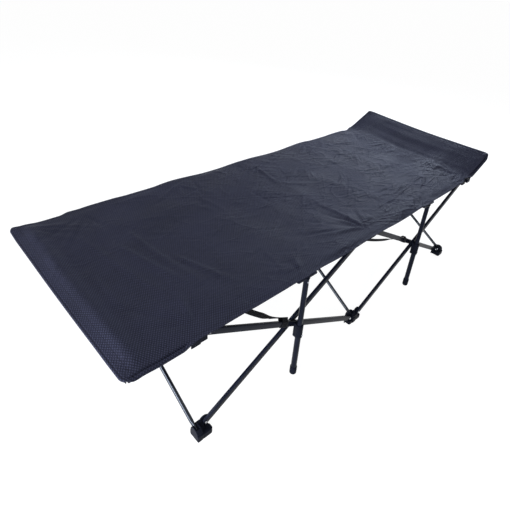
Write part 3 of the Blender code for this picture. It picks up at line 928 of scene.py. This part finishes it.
def strapRoute(endName, plane):
    # half the band from the bed's middle out: a parabola up to the tube's top, a turn round its flat sides,
    # and a tail sewn under the band. Rows are (distance from the middle, height over the tube's axis).
    corner, sag = strap["wrapCorner"], strap["sag"][endName]
    wide, tall = strap["wrapWide"] - corner, strap["wrapTall"] - corner
    leave, stand = math.pi / 2 + 0.6, strap["stand"][endName]
    for _ in range(4):
        edge = plane - wide + corner * math.cos(leave)
        lift = tall + stand + corner * math.sin(leave)
        leave = math.pi / 2 + math.atan2(2 * (sag + lift), edge)
    y = np.linspace(0, edge, 44)
    band = np.stack([y, -sag + (sag + lift) * (y / edge) ** 2], -1)
    arcs = []
    stops = (leave, math.pi / 2, 0, -math.pi / 2, -math.pi)
    places = ((-wide, tall + stand), (wide, tall), (wide, -tall), (-wide, -tall))
    for (y0, z0), start, finish in zip(places, stops, stops[1:]):
        angle = np.linspace(start, finish, 6)
        arcs.append(np.stack([plane + y0 + corner * np.cos(angle), z0 + corner * np.sin(angle)], -1))
    loop = np.concatenate(arcs)[1:]
    yTail = np.linspace(edge - 0.012, edge - 0.012 - strap["tail"], 8)
    tail = np.stack([yTail, -sag + (sag + lift) * (yTail / edge) ** 2 - 0.0018], -1)
    reach = np.linspace(0, 1, 7)[1:-1, None]
    leaveWay = np.array([0.0, 0.014])
    arriveWay = unit(tail[1] - tail[0]) * 0.010
    join = (
        (2 * reach**3 - 3 * reach**2 + 1) * loop[-1] + (reach**3 - 2 * reach**2 + reach) * leaveWay
        + (3 * reach**2 - 2 * reach**3) * tail[0] + (reach**3 - reach**2) * arriveWay
    )
    return np.concatenate([band, loop, join, tail])


def addStrap(endName, end):
    # half the route is mirrored to the other side, and the band's width is laid across it
    x = end * crossingX - strap["offset"]
    grip = crossingHeight + sideSlope * strap["offset"]
    plane = cot["outerPlane"] if end < 0 else cot["innerPlane"]
    half = strapRoute(endName, plane)
    route = np.concatenate([half[:0:-1] * [-1, 1], half])
    # the band twists from level in the middle to lie along the leaning tube
    tilt = math.atan(sideSlope) * smooth(abs(route[:, 0]), 0.24, plane - 0.02)
    lean = np.stack([np.sin(tilt), np.zeros(len(tilt)), np.cos(tilt)], -1)
    across = np.stack([np.cos(tilt), np.zeros(len(tilt)), -np.sin(tilt)], -1)
    centre = np.array([x, 0, grip]) + route[:, :1] * yAxis + route[:, 1:] * lean
    share = np.linspace(-0.5, 0.5, 9)
    points = centre[:, None] + strap["width"] * share[None, :, None] * across[:, None]
    length = np.concatenate([[0], np.cumsum(np.linalg.norm(np.diff(centre, axis=0), axis=1))])
    uv = np.stack(np.broadcast_arrays(strap["width"] * share[None], length[:, None]), -1).reshape(-1, 2)
    name = f"strap_{endName}"
    piece = addPiece(f"{name}_band", (points.reshape(-1, 3), gridFaces(len(centre), 9)), 180, outward=False)
    setUv(piece.data, uv)
    dress(piece, f"left_{endName}_leg", "webbing", [name])
    print(name, "length", round(float(length[-1]), 3))
    return piece


straps = {endName: addStrap(endName, end) for endName, end in ends}
print("straps ready")

# The bed cloth
bed = {
    "halfWidth": 0.3725,
    "halfLength": 0.950,
    "top": 0.435,
    "sag": 0.012,
    "sagReach": 0.312,
    "thickness": 0.0009,
    "headBend": 0.770,
    "headEase": (0.030, 0.062),
    "hemStart": 0.3590,
    "plainRoll": 0.0012,
    "sleeveRoll": 0.0068,
    "sleeveCentre": 0.3652,
    "sleeveDrop": 0.0036,
    "sleeveFrom": (0.768, 0.800),
    "clipBulge": 0.0045,
    "hubNotch": {"toe": 0.0025, "head": 0.0125},
    "footRidge": (0.048, 0.025, 0.0125),
    "dogEar": 0.006,
    "endRoll": 0.0036,
    "cornerRound": (0.026, 0.036),
    "hubRest": {"half": 0.052, "from": 0.316, "to": 0.362, "below": 0.0004},
}


def clothBase(x, y):
    # level over the hubs, turned up past the head hubs, hollow between its edges
    past = x - bed["headBend"]
    atEdge, atMiddle = bed["headEase"]
    ease = atMiddle + (atEdge - atMiddle) * smooth(abs(y), 0.20, 0.35)
    rise = math.tan(arm["headRise"]) * (past + np.sqrt(past**2 + ease**2)) / 2
    across = np.clip(1 - (y / bed["sagReach"]) ** 2, 0, 1) ** 2
    along = 1 - 0.6 * (x / bed["halfLength"]) ** 4
    # between the hubs and posts the edge droops, the foot end turns down, and the head end rolls a little
    between = (1 - smooth(abs(x), 0.20, 0.33)) * (0.2 + 0.8 * smooth(abs(x), 0.03, 0.16))
    outward = smooth(abs(x), 0.41, 0.46) * (1 - smooth(abs(x), 0.56, 0.62))
    droop = smooth(abs(y), 0.340, 0.3725) * (0.0060 * between + 0.0025 * outward)
    toEnd = bed["halfLength"] - abs(x)
    place, width, height = bed["footRidge"]
    inward = 1 - 0.75 * smooth(abs(y), 0.28, 0.36)
    ridge = height * np.exp(-(((toEnd - place) / width) ** 2)) * inward
    ear = bed["dogEar"] * np.exp(-((toEnd / 0.05) ** 2)) * smooth(y, 0.30, 0.37)
    foot = np.where(x < 0, 0.0042 * np.clip(1 - toEnd / place, 0, 1) * inward - ridge - ear, 0)
    head = np.where(x > 0, 0.0040 * (1 - smooth(toEnd, 0, 0.040)) * (1 - smooth(abs(y), 0.22, 0.37)), 0)
    seam = 0.0011 * np.exp(-(((toEnd - np.where(x < 0, 0.0065, 0.0140)) / 0.0016) ** 2))
    return bed["top"] + rise - bed["sag"] * across * along - droop - foot - head - seam


# A fan of creases is drawn from ranges of length, width, amount and bend. A foot fold is its start, angle,
# length and amount; a head fold is its place along the bed, width, amount, middle and reach across.
folds = {
    "seed": 12,
    "lift": 1.9,
    "signs": [1, 1, -1],
    "hubRays": ((0, -1, 22), (0, 1, 12), (1, -1, 11), (1, 1, 6), (-1, -1, 9), (-1, 1, 5)),
    "postRays": 8,
    "cornerRays": 7,
    "hubY": 0.318,
    "postY": 0.335,
    "corners": (0.925, 0.345),
    "spread": {"hub": 1.35, "post": 1.1, "corner": 0.7},
    "hub": {"lengths": (0.10, 0.34), "widths": (0.0055, 0.009), "amounts": (0.0005, 0.0015), "bend": 0.15},
    "post": {"lengths": (0.08, 0.22), "widths": (0.005, 0.008), "amounts": (0.0005, 0.0012), "bend": 0.15},
    "corner": {"lengths": (0.10, 0.28), "widths": (0.006, 0.010), "amounts": (0.0005, 0.0012), "bend": 0.2},
    "crumples": 150,
    "crumple": {
        "lengths": (0.05, 0.20), "widths": (0.0045, 0.007), "amounts": (0.0004, 0.0013), "bend": 0.3,
    },
    "foot": (
        ((-0.80, 0.22), -1.45, 0.50, 0.0024), ((-0.73, 0.12), -1.38, 0.36, 0.0028),
        ((-0.67, 0.18), -1.50, 0.46, 0.0022), ((-0.62, -0.02), -1.32, 0.30, 0.0024),
        ((-0.84, 0.02), -1.62, 0.26, 0.0020),
    ),
    "head": (
        (0.765, 0.010, 0.0012, 0.05, 0.22), (0.802, 0.012, 0.0014, -0.10, 0.24),
        (0.838, 0.010, -0.0009, 0.08, 0.26), (0.872, 0.012, 0.0011, -0.04, 0.30),
        (0.905, 0.008, -0.0007, 0.10, 0.20),
    ),
    "pull": {"height": 0.0022, "width": 0.030, "reach": 0.34},
    "swell": {"waves": 10, "lengths": (0.09, 0.30), "share": 0.0026},
}


def creases(x, y):
    # each crease is a bent line: height = lift * amount * exp(-(offset/width)^2), faded at both ends
    rng = np.random.default_rng(folds["seed"])
    total = np.zeros(np.broadcast(x, y).shape)

    def crease(start, angle, length, width, amount, bend):
        nonlocal total
        along = (x - start[0]) * math.cos(angle) + (y - start[1]) * math.sin(angle)
        aside = -(x - start[0]) * math.sin(angle) + (y - start[1]) * math.cos(angle)
        share = along / length
        aside = aside - bend * share**2 * length
        fade = smooth(share, 0.0, 0.18) * (1 - smooth(share, 0.45, 1.0))
        spread = width * (0.7 + 0.6 * np.clip(share, 0, 1))
        total = total + folds["lift"] * amount * fade * np.exp(-((aside / spread) ** 2))

    def drawn(start, angle, kind, signed=False):
        ranges = folds[kind]
        length, width, amount = (rng.uniform(*ranges[key]) for key in ("lengths", "widths", "amounts"))
        if signed:
            amount = amount * rng.choice(folds["signs"])
        crease(start, angle, length, width, amount, rng.uniform(-ranges["bend"], ranges["bend"]))

    def rays(count, start, facing, kind, signed=False):
        spread = folds["spread"][kind]
        for _ in range(count):
            drawn(start, facing + rng.uniform(-spread, spread), kind, signed)

    # rays from the hubs, posts and corners that carry the cloth, with the most at the middle hubs
    for column, side, count in folds["hubRays"]:
        rays(count, (column * cot["hubSpacing"], side * folds["hubY"]), -side * math.pi / 2, "hub", True)
    cornerX, cornerY = folds["corners"]
    for end in (-1, 1):
        for side in (-1, 1):
            rays(folds["postRays"], (end * crossingX, side * folds["postY"]), -side * math.pi / 2, "post")
        for side in (-1, 1):
            rays(folds["cornerRays"], (end * cornerX, side * cornerY), math.atan2(-side, -end), "corner")
    # long pull lines from hub to hub, and short crumples, most of them towards the head
    pull = folds["pull"]
    for column in (-1, 0, 1):
        line = pull["height"] * np.exp(-((x - column * cot["hubSpacing"]) / pull["width"]) ** 2)
        total = total + line * (1 - (y / pull["reach"]) ** 2).clip(0, 1)
    for _ in range(folds["crumples"]):
        start = (rng.triangular(-0.8, 0.55, 0.72), rng.uniform(-0.30, 0.30))
        angles = [rng.normal(0.12, 0.28), rng.normal(-0.55, 0.25), rng.uniform(-1.5, 1.5)]
        angle = rng.choice(angles, p=[0.55, 0.27, 0.18])
        drawn(start, angle + (math.pi if rng.random() < 0.5 else 0), "crumple", True)
    # long soft folds across the foot end
    for start, angle, length, amount in folds["foot"]:
        crease(start, angle, length, 0.0105, amount, 0.06)
    # across the turned-up head end the folds run from side to side
    flat = 1 - smooth(x, 0.76, 0.80)
    total = total * (0.12 + 0.88 * flat)
    for x0, width, amount, y0, reach in folds["head"]:
        bow = x0 + 0.012 * ((y - y0) / 0.3) ** 2
        total = total + amount * np.exp(-(((x - bow) / width) ** 2)) * np.exp(-(((y - y0) / reach) ** 4))
    # a slow swell made of a few crossed waves
    swell = folds["swell"]
    for _ in range(swell["waves"]):
        angle, wave = rng.uniform(0, math.pi), rng.uniform(*swell["lengths"])
        phase = rng.uniform(0, 2 * math.pi)
        along = x * math.cos(angle) + y * math.sin(angle)
        total = total + swell["share"] * wave * np.sin(2 * math.pi * along / wave + phase)
    return total


def clothTop(x, y):
    # the form and its creases, which fade out towards the hems
    toEdge = np.minimum(bed["hemStart"] - abs(y), bed["halfLength"] - 0.02 - abs(x))
    height = clothBase(x, y) + creases(x, y) * smooth(toEdge, 0.0, 0.030)
    # over a hub the cloth doesn't dip below its flat top
    nearHub = np.min([abs(x - column * cot["hubSpacing"]) for column in (-1, 0, 1)], axis=0)
    rest = bed["hubRest"]
    onHub = (nearHub < rest["half"]) & (abs(y) > rest["from"]) & (abs(y) < rest["to"])
    return np.where(onHub, np.maximum(height, bed["top"] - rest["below"]), height)


def edgeSpacing(half, step, fineReach, fineStep):
    # positions from -half to half, closer together near both ends
    coarse = half - fineReach
    middle = np.linspace(-coarse, coarse, int(round(2 * coarse / step)) + 1)
    fine = np.linspace(coarse, half, int(round(fineReach / fineStep)) + 1)[1:]
    return np.concatenate([-fine[::-1], middle, fine])


def bedGrid():
    # rows run along the bed, with the end hem's roll; columns run across it, with the side hem or sleeve
    endRoll, length = bed["endRoll"], bed["halfLength"]
    flatX = edgeSpacing(length - endRoll, 0.0069, 0.024, 0.0012)
    bend = np.radians(np.linspace(90, -100, 8))[1:]
    rollX = length - endRoll + endRoll * np.cos(bend)
    dropX = endRoll * (np.sin(bend) - 1)
    x = np.concatenate([-rollX[::-1], flatX, rollX])[:, None]
    fallX = np.concatenate([dropX[::-1], np.zeros(len(flatX)), dropX])[:, None]

    flatY = edgeSpacing(bed["hemStart"], 0.0066, 0.012, 0.0030)
    sleeve = smooth(abs(x), *bed["sleeveFrom"]) * (1 - smooth(abs(x), length - 0.036, length - 0.001))
    roll = bed["plainRoll"] + (bed["sleeveRoll"] - bed["plainRoll"]) * sleeve
    plainCentre = bed["halfWidth"] - bed["plainRoll"]
    centre = plainCentre + (bed["sleeveCentre"] - plainCentre) * sleeve
    step = np.linspace(0, 1, 9)[None, 1:]
    lip = bed["hemStart"] + (centre - bed["hemStart"]) * step
    # past the seam the sleeve hangs a little lower, behind a groove
    drop = bed["sleeveDrop"] * sleeve
    dip = -drop * smooth(lip, 0.3600, 0.3622) - 0.0052 * sleeve * np.exp(-((lip - 0.3622) / 0.0015) ** 2)
    turn = np.radians(np.linspace(90, -125, 13))[None, 1:]
    hem = np.concatenate([lip, centre + roll * np.cos(turn)], 1)
    fall = np.concatenate([dip, roll * (np.sin(turn) - 1) - drop], 1)
    rows = len(x)
    y = np.concatenate([-hem[:, ::-1], np.broadcast_to(flatY, (rows, len(flatY))), hem], 1)
    fallY = np.concatenate([fall[:, ::-1], np.zeros((rows, len(flatY))), fall], 1)
    x = np.broadcast_to(x, y.shape).copy()
    flatUv = np.stack([x, y], -1)
    steps = np.hypot(np.diff(y, axis=1), np.diff(fallY, axis=1))
    flatUv[..., 1] = np.cumsum(np.pad(steps, ((0, 0), (1, 0))), 1)
    flatUv[..., 1] -= flatUv[:, y.shape[1] // 2, None, 1]

    top = clothTop(x, y)
    z = top + np.minimum(fallX, fallY)
    # the corners are round: past the corner's centre, the larger of the two reaches becomes the radius
    corner = np.where(x < 0, *bed["cornerRound"])
    overX = np.maximum(abs(x) - (length - corner), 0)
    overY = np.maximum(abs(y) - (bed["halfWidth"] - corner), 0)
    far = np.hypot(overX, overY)
    shrink = np.where(far > 1e-9, np.maximum(overX, overY) / np.maximum(far, 1e-9), 1)
    x = np.sign(x) * (abs(x) - overX + overX * shrink)
    y = np.sign(y) * (abs(y) - overY + overY * shrink)
    # the posts' clips push the edge out, and it is cut back over the end hubs
    bulge = bed["clipBulge"] * np.exp(-(((abs(x) - crossingX) / 0.045) ** 2))
    notch = np.where(x < 0, bed["hubNotch"]["toe"], bed["hubNotch"]["head"])
    bulge = bulge - notch * np.exp(-(((abs(x) - cot["hubSpacing"]) / 0.026) ** 2))
    return np.stack([x, y + np.sign(y) * bulge * smooth(abs(y), 0.30, 0.37), z], -1), flatUv


points, flatUv = bedGrid()
rows, across = points.shape[:2]
cloth = addPiece("bed_sheet_cloth", (points.reshape(-1, 3), gridFaces(rows, across)), 180, outward=False)
setUv(cloth.data, flatUv.reshape(-1, 2))
if cloth.data.polygons[len(cloth.data.polygons) // 2].normal.z < 0:
    cloth.data.flip_normals()
dress(cloth, "sheet", "bed_cloth", ["bed_sheet"])
print("bed cloth ready:", rows, "x", across)

# Stitches: one small capsule repeated along the hems' seams
stitch = {
    "length": 0.0034,
    "pitch": 0.0048,
    "radius": 0.00045,
    "lift": 0.0002,
    "sideSeam": (0.930, 0.3565),
    "endSeam": (0.9265, 0.3500),
}


def stitchRow(start, finish):
    # capsules laid along a straight seam, each at the cloth's height and leaning with it
    start, finish = np.array(start, float), np.array(finish, float)
    count = int(np.linalg.norm(finish - start) / stitch["pitch"])
    share = (np.arange(count) + 0.5) / count
    middle = start + (finish - start) * share[:, None]
    way = unit(finish - start)
    tip = middle + way * stitch["length"] / 2
    tail = middle - way * stitch["length"] / 2
    heights = [clothTop(p[:, 0], p[:, 1]) for p in (tail, tip)]
    ends = [np.column_stack([p, h + stitch["lift"]]) for p, h in zip((tail, tip), heights)]
    along = ends[1] - ends[0]
    aside = np.cross(along, zAxis)
    aside /= np.linalg.norm(aside, axis=1)[:, None]
    up = np.cross(aside, along)
    up /= np.linalg.norm(up, axis=1)[:, None]
    angle = np.arange(6) * math.pi / 3
    circle = np.cos(angle)[:, None, None] * aside + np.sin(angle)[:, None, None] * up
    stops = [(0.0, 0.35), (0.15, 1.0), (0.85, 1.0), (1.0, 0.35)]
    rings = np.array([ends[0] + along * s + circle * stitch["radius"] * r for s, r in stops])
    capsules = rings.transpose(2, 0, 1, 3)
    return [ringShell(capsule) for capsule in capsules]


def addStitches():
    # one row along each side seam, then one across each end seam
    seamX, seamY = stitch["sideSeam"]
    endX, endY = stitch["endSeam"]
    shells = []
    for side in (-1, 1):
        shells += stitchRow((-seamX, side * seamY), (seamX, side * seamY))
    for end in (-1, 1):
        shells += stitchRow((end * endX, -endY), (end * endX, endY))
    return addPiece("hem_stitches", joinShells(shells), 60, outward=False)


stitches = dress(addStitches(), "sheet", "thread")
print("stitches ready")


# Folding. The cloth and its stitches bend with a cage of points that follow the hubs, posts and arms.
def makeCage(name, low, high, counts, body):
    data = bpy.data.lattices.new(name)
    data.points_u, data.points_v, data.points_w = counts
    data.interpolation_type_u = data.interpolation_type_w = "KEY_LINEAR"
    data.interpolation_type_v = "KEY_CARDINAL"
    cage = addObject(name, data)
    # a cage's own points stand one unit apart
    low, high = np.array(low), np.array(high)
    cage.location = (low + high) / 2
    cage.scale = (high - low) / (np.array(counts) - 1)
    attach(cage, body)
    bpy.context.view_layer.update()
    grid = [(i, j, k) for k in range(counts[2]) for j in range(counts[1]) for i in range(counts[0])]
    return cage, grid


def hookCage(cage, grid, shares):
    # shares(i, j, k) gives (object, weight) pairs; each object becomes a Hook with its own group of points
    groups = {}
    for index, place in enumerate(grid):
        for target, weight in shares(*place):
            groups.setdefault(target.name, (target, []))[1].append((index, weight))
    for name, (target, members) in groups.items():
        group = cage.vertex_groups.new(name=name)
        for index, weight in members:
            group.add([index], weight, "REPLACE")
        hook = cage.modifiers.new(name, "HOOK")
        hook.object = target
        hook.vertex_group = name
        hook.matrix_inverse = target.matrix_world.inverted() @ cage.matrix_world


def bendWith(piece, cage):
    # the piece's points move as the cage's points around them do
    fold = piece.modifiers.new("fold", "LATTICE")
    fold.object = cage


# Keys of floorShare and endSink are how far out from the bed's middle, 0 to 1; a share of 1 sinks fully.
clothCage = {
    "hubStation": 16,
    "lastStation": 24,
    "acrossStations": 2,
    "bottom": 0.400,
    "top": 0.540,
    "floorShare": {0: 0.93, 0.5: 0.60, 1: 0.0},
    "endSink": {0: 0.86, 0.5: 0.20},
}
cageStep = cot["hubSpacing"] / clothCage["hubStation"]
cageWidth = bed["halfWidth"]
endNameOf = {-1: "toe", 1: "head"}


def makeEndGuide(endName, end, across):
    # an empty over the cloth's turned end: it turns with the corner arms, keeps to their hinges along the
    # bed, and sinks towards the floor hubs by its own share
    place = Vector((end * (cot["hubSpacing"] + arm["pivot"]), across * cageWidth, arm["height"]))
    sideName = "right" if across > 0 else "left"
    tag = {-0.5: "left", 0: "mid", 0.5: "right"}[across]

    def addEmpty(name, body):
        empty = addObject(f"{endName}_{tag}_{name}", None)
        empty.location = place
        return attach(empty, body)

    guide = addEmpty("guide", "sheet")
    sink = clothCage["endSink"][abs(across)]
    for level, axis, share in (("top", "x", 1.0), ("top", "y", abs(across)), ("floor", "z", sink)):
        if share:
            follow = guide.constraints.new("COPY_LOCATION")
            follow.target = addEmpty(f"{level}_marker_{axis}", f"hub_{sideName}_{endName}_{level}")
            follow.use_x, follow.use_y, follow.use_z = (axis == letter for letter in "xyz")
            follow.influence = share
    turn = guide.constraints.new("COPY_ROTATION")
    turn.target = bodies[f"left_{endName}_arm"]
    return guide


guides = {
    (end, across): makeEndGuide(endName, end, across)
    for endName, end in ends for across in (-0.5, 0, 0.5)
}


def clothShares(i, j, k):
    # stations along the bed count from its middle. Past the end hubs the cloth turns with the arms; before
    # them it passes smoothly from hub to post to hub, level over each.
    hubStation, acrossStations = clothCage["hubStation"], clothCage["acrossStations"]
    station, across = i - clothCage["lastStation"], (j - acrossStations) / acrossStations
    end = 1 if station > 0 else -1
    endName = endNameOf[end]
    if abs(station) > hubStation:
        if abs(across) == 1:
            return [(bodies[f"{'left' if across < 0 else 'right'}_{endName}_arm"], 1.0)]
        return [(guides[end, across], 1.0)]
    place, postPlace = abs(station), hubStation // 2
    onPost = float(smooth(postPlace - abs(place - postPlace), 1, postPlace - 1))
    low, along = clothCage["floorShare"][abs(across)], place / hubStation
    columnName = "mid" if place < postPlace else endName
    parts = (
        (f"hub_{{}}_{columnName}_top", (1 - onPost) * (1 - low)),
        (f"{{}}_{endName}_post", onPost * (1 - low)),
        ("hub_{}_mid_floor", (1 - along) * low),
        (f"hub_{{}}_{endName}_floor", along * low),
    )
    shares = [
        (bodies[pattern.format(sideName)], (1 + side * across) / 2 * part)
        for sideName, side in sides for pattern, part in parts
    ]
    return [(target, weight) for target, weight in shares if weight > 0]


def strapShares(endName):
    # a strap's ends follow the tubes they hold, and its slack sinks with the floor hubs
    which = "outer" if endName == "toe" else "inner"

    def shares(i, j, k):
        # nine stations across; the outer two on each side turn with the side tubes
        across = (j - 4) / 4
        sideName = "left" if across < 0 else "right"
        if abs(across) > 0.7:
            return [(bodies[f"{sideName}_{endName}_{which}"], 1.0)]
        low = strap["floorShare"][abs(across)]
        found = []
        for name, share in (("left", (1 - across * 4 / 3) / 2), ("right", (1 + across * 4 / 3) / 2)):
            found.append((bodies[f"{name}_{endName}_leg"], share * (1 - low)))
            found.append((bodies[f"hub_{name}_mid_floor"], share * low / 2))
            found.append((bodies[f"hub_{name}_{endName}_floor"], share * low / 2))
        return found
    return shares


cageReach = clothCage["lastStation"] * cageStep
cage, grid = makeCage(
    "cloth_cage", (-cageReach, -cageWidth, clothCage["bottom"]), (cageReach, cageWidth, clothCage["top"]),
    (2 * clothCage["lastStation"] + 1, 2 * clothCage["acrossStations"] + 1, 2), "sheet",
)
hookCage(cage, grid, clothShares)
bendWith(cloth, cage)
bendWith(stitches, cage)
(halfX, halfY), (bottom, top) = strap["cageHalf"], strap["cageHeights"]
for endName, end in ends:
    x = end * crossingX - strap["offset"]
    strapCage, strapGrid = makeCage(
        f"strap_cage_{endName}", (x - halfX, -halfY, bottom), (x + halfX, halfY, top), (2, 9, 2),
        f"left_{endName}_leg",
    )
    hookCage(strapCage, strapGrid, strapShares(endName))
    bendWith(straps[endName], strapCage)
    shell = straps[endName].modifiers.new("thickness", "SOLIDIFY")
    shell.thickness = strap["thickness"]
    shell.offset = 0
shell = cloth.modifiers.new("thickness", "SOLIDIFY")
shell.thickness = bed["thickness"]
shell.offset = -1
print("folding ready")

# Studio
studio = {
    "target": (0.1802, 0.1887, 0.25),
    "distance": 2.084,
    "azimuth": -138.97,
    "elevation": 29.38,
    "roll": -6.83,
    "focalPixels": 434.6,
    "principal": (295.55, 199.8),
    "frame": 510,
    "floorHalf": 30.0,
    "floorGlow": 0.92,
    "worldLight": 0.3,
}
# A lamp is its place, target, size, power in watts and colour.
lamps = {
    "toe_lamp": ((-2.4, -0.9, 1.4), (-0.5, -0.2, 0.3), (0.30, 1.00), 9, (1, 1, 1)),
    "low_lamp": ((-2.12, -0.32, 0.44), (-0.75, -0.30, 0.20), (0.60, 0.80), 34, (0.84, 0.89, 1.0)),
    "near_lamp": ((-1.41, -1.70, 1.31), (-0.60, -0.33, 0.09), (0.60, 0.50), 14, (0.85, 0.92, 1.0)),
    "far_lamp": ((-2.08, 0.91, 2.07), (-0.65, -0.33, 0.06), (0.5, 0.5), 14, (1, 1, 1)),
    "head_lamp": ((2.9, 1.1, 1.55), (0.4, 0, 0.4), (1.1, 0.7), 42, (0.74, 0.83, 1.0)),
    "mid_lamp": ((2.2, 1.9, 2.1), (0.2, 0, 0.4), (0.9, 0.9), 22, (0.72, 0.78, 1.0)),
    "top_lamp": ((1.4, 0.8, 2.2), (0.8, 0, 0.4), (0.8, 0.6), 6, (0.55, 0.64, 1.0)),
}


def addCamera():
    # looks at the target from the given direction; roll turns the picture about its own centre
    azimuth, elevation, roll = (math.radians(studio[key]) for key in ("azimuth", "elevation", "roll"))
    level = math.cos(elevation)
    away = Vector((level * math.cos(azimuth), level * math.sin(azimuth), math.sin(elevation)))
    right = (-away).cross(Vector((0, 0, 1))).normalized()
    down = (-away).cross(right)
    right, down = (
        math.cos(roll) * right + math.sin(roll) * down, -math.sin(roll) * right + math.cos(roll) * down
    )
    size, (centreX, centreY) = studio["frame"], studio["principal"]
    data = bpy.data.cameras.new("studio_camera")
    data.sensor_width = 36
    data.lens = data.sensor_width * studio["focalPixels"] / size
    data.shift_x = (size / 2 - centreX) / size
    data.shift_y = (centreY - size / 2) / size
    camera = addObject("studio_camera", data)
    turn = Matrix((right, -down, away)).transposed().to_4x4()
    camera.matrix_world = Matrix.Translation(Vector(studio["target"]) + away * studio["distance"]) @ turn
    bpy.context.scene.camera = camera


def addLamp(name, place, target, size, power, color):
    # a rectangle that faces its target
    data = bpy.data.lights.new(name, "AREA")
    data.shape = "RECTANGLE"
    data.size, data.size_y = size
    data.energy = power
    data.color = color
    lamp = addObject(name, data)
    way = Vector(target) - Vector(place)
    lamp.matrix_world = Matrix.Translation(place) @ way.to_track_quat("-Z", "Y").to_matrix().to_4x4()


def seenDirectly(tree):
    # 1 for rays from the camera, a gloss or a glass, and 0 for the rest
    path = tree.nodes.new("ShaderNodeLightPath")
    seen = Value(tree, path.outputs["Is Camera Ray"])
    for ray in ("Is Glossy Ray", "Is Transmission Ray"):
        seen = seen + Value(tree, path.outputs[ray])
    return seen.math("MINIMUM", seen, 1.0)


def addFloor():
    # white to the camera, with a share of plain diffuse that keeps the cot's shadow
    points = studio["floorHalf"] * np.array([[-1, -1, 0], [1, -1, 0], [1, 1, 0], [-1, 1, 0]])
    floor = addPiece("studio_floor", (points, [[0, 1, 2, 3]]), outward=False)
    finish = Finish("studioFloor", Base_Color=(0.22, 0.22, 0.22, 1), Roughness=0.9, Specular_IOR_Level=0.0)
    finish.shader.inputs["Emission Color"].default_value = (1, 1, 1, 1)
    glow = seenDirectly(finish.tree) * studio["floorGlow"]
    finish.tree.links.new(glow.socket, finish.shader.inputs["Emission Strength"])
    floor.data.materials.append(finish.material)


def addWorld():
    # white to the camera, and a share of that as light
    world = bpy.data.worlds.new("studio_world")
    world.use_nodes = True
    bpy.context.scene.world = world
    tree = world.node_tree
    light = studio["worldLight"]
    strength = seenDirectly(tree) * (1 - light) + light
    tree.links.new(strength.socket, tree.nodes["Background"].inputs["Strength"])
    tree.nodes["Background"].inputs["Color"].default_value = (1, 1, 1, 1)


addCamera()
addFloor()
addWorld()
for name, settings in lamps.items():
    addLamp(name, *settings)
bpy.context.scene.view_settings.view_transform = "Standard"
print("studio ready")
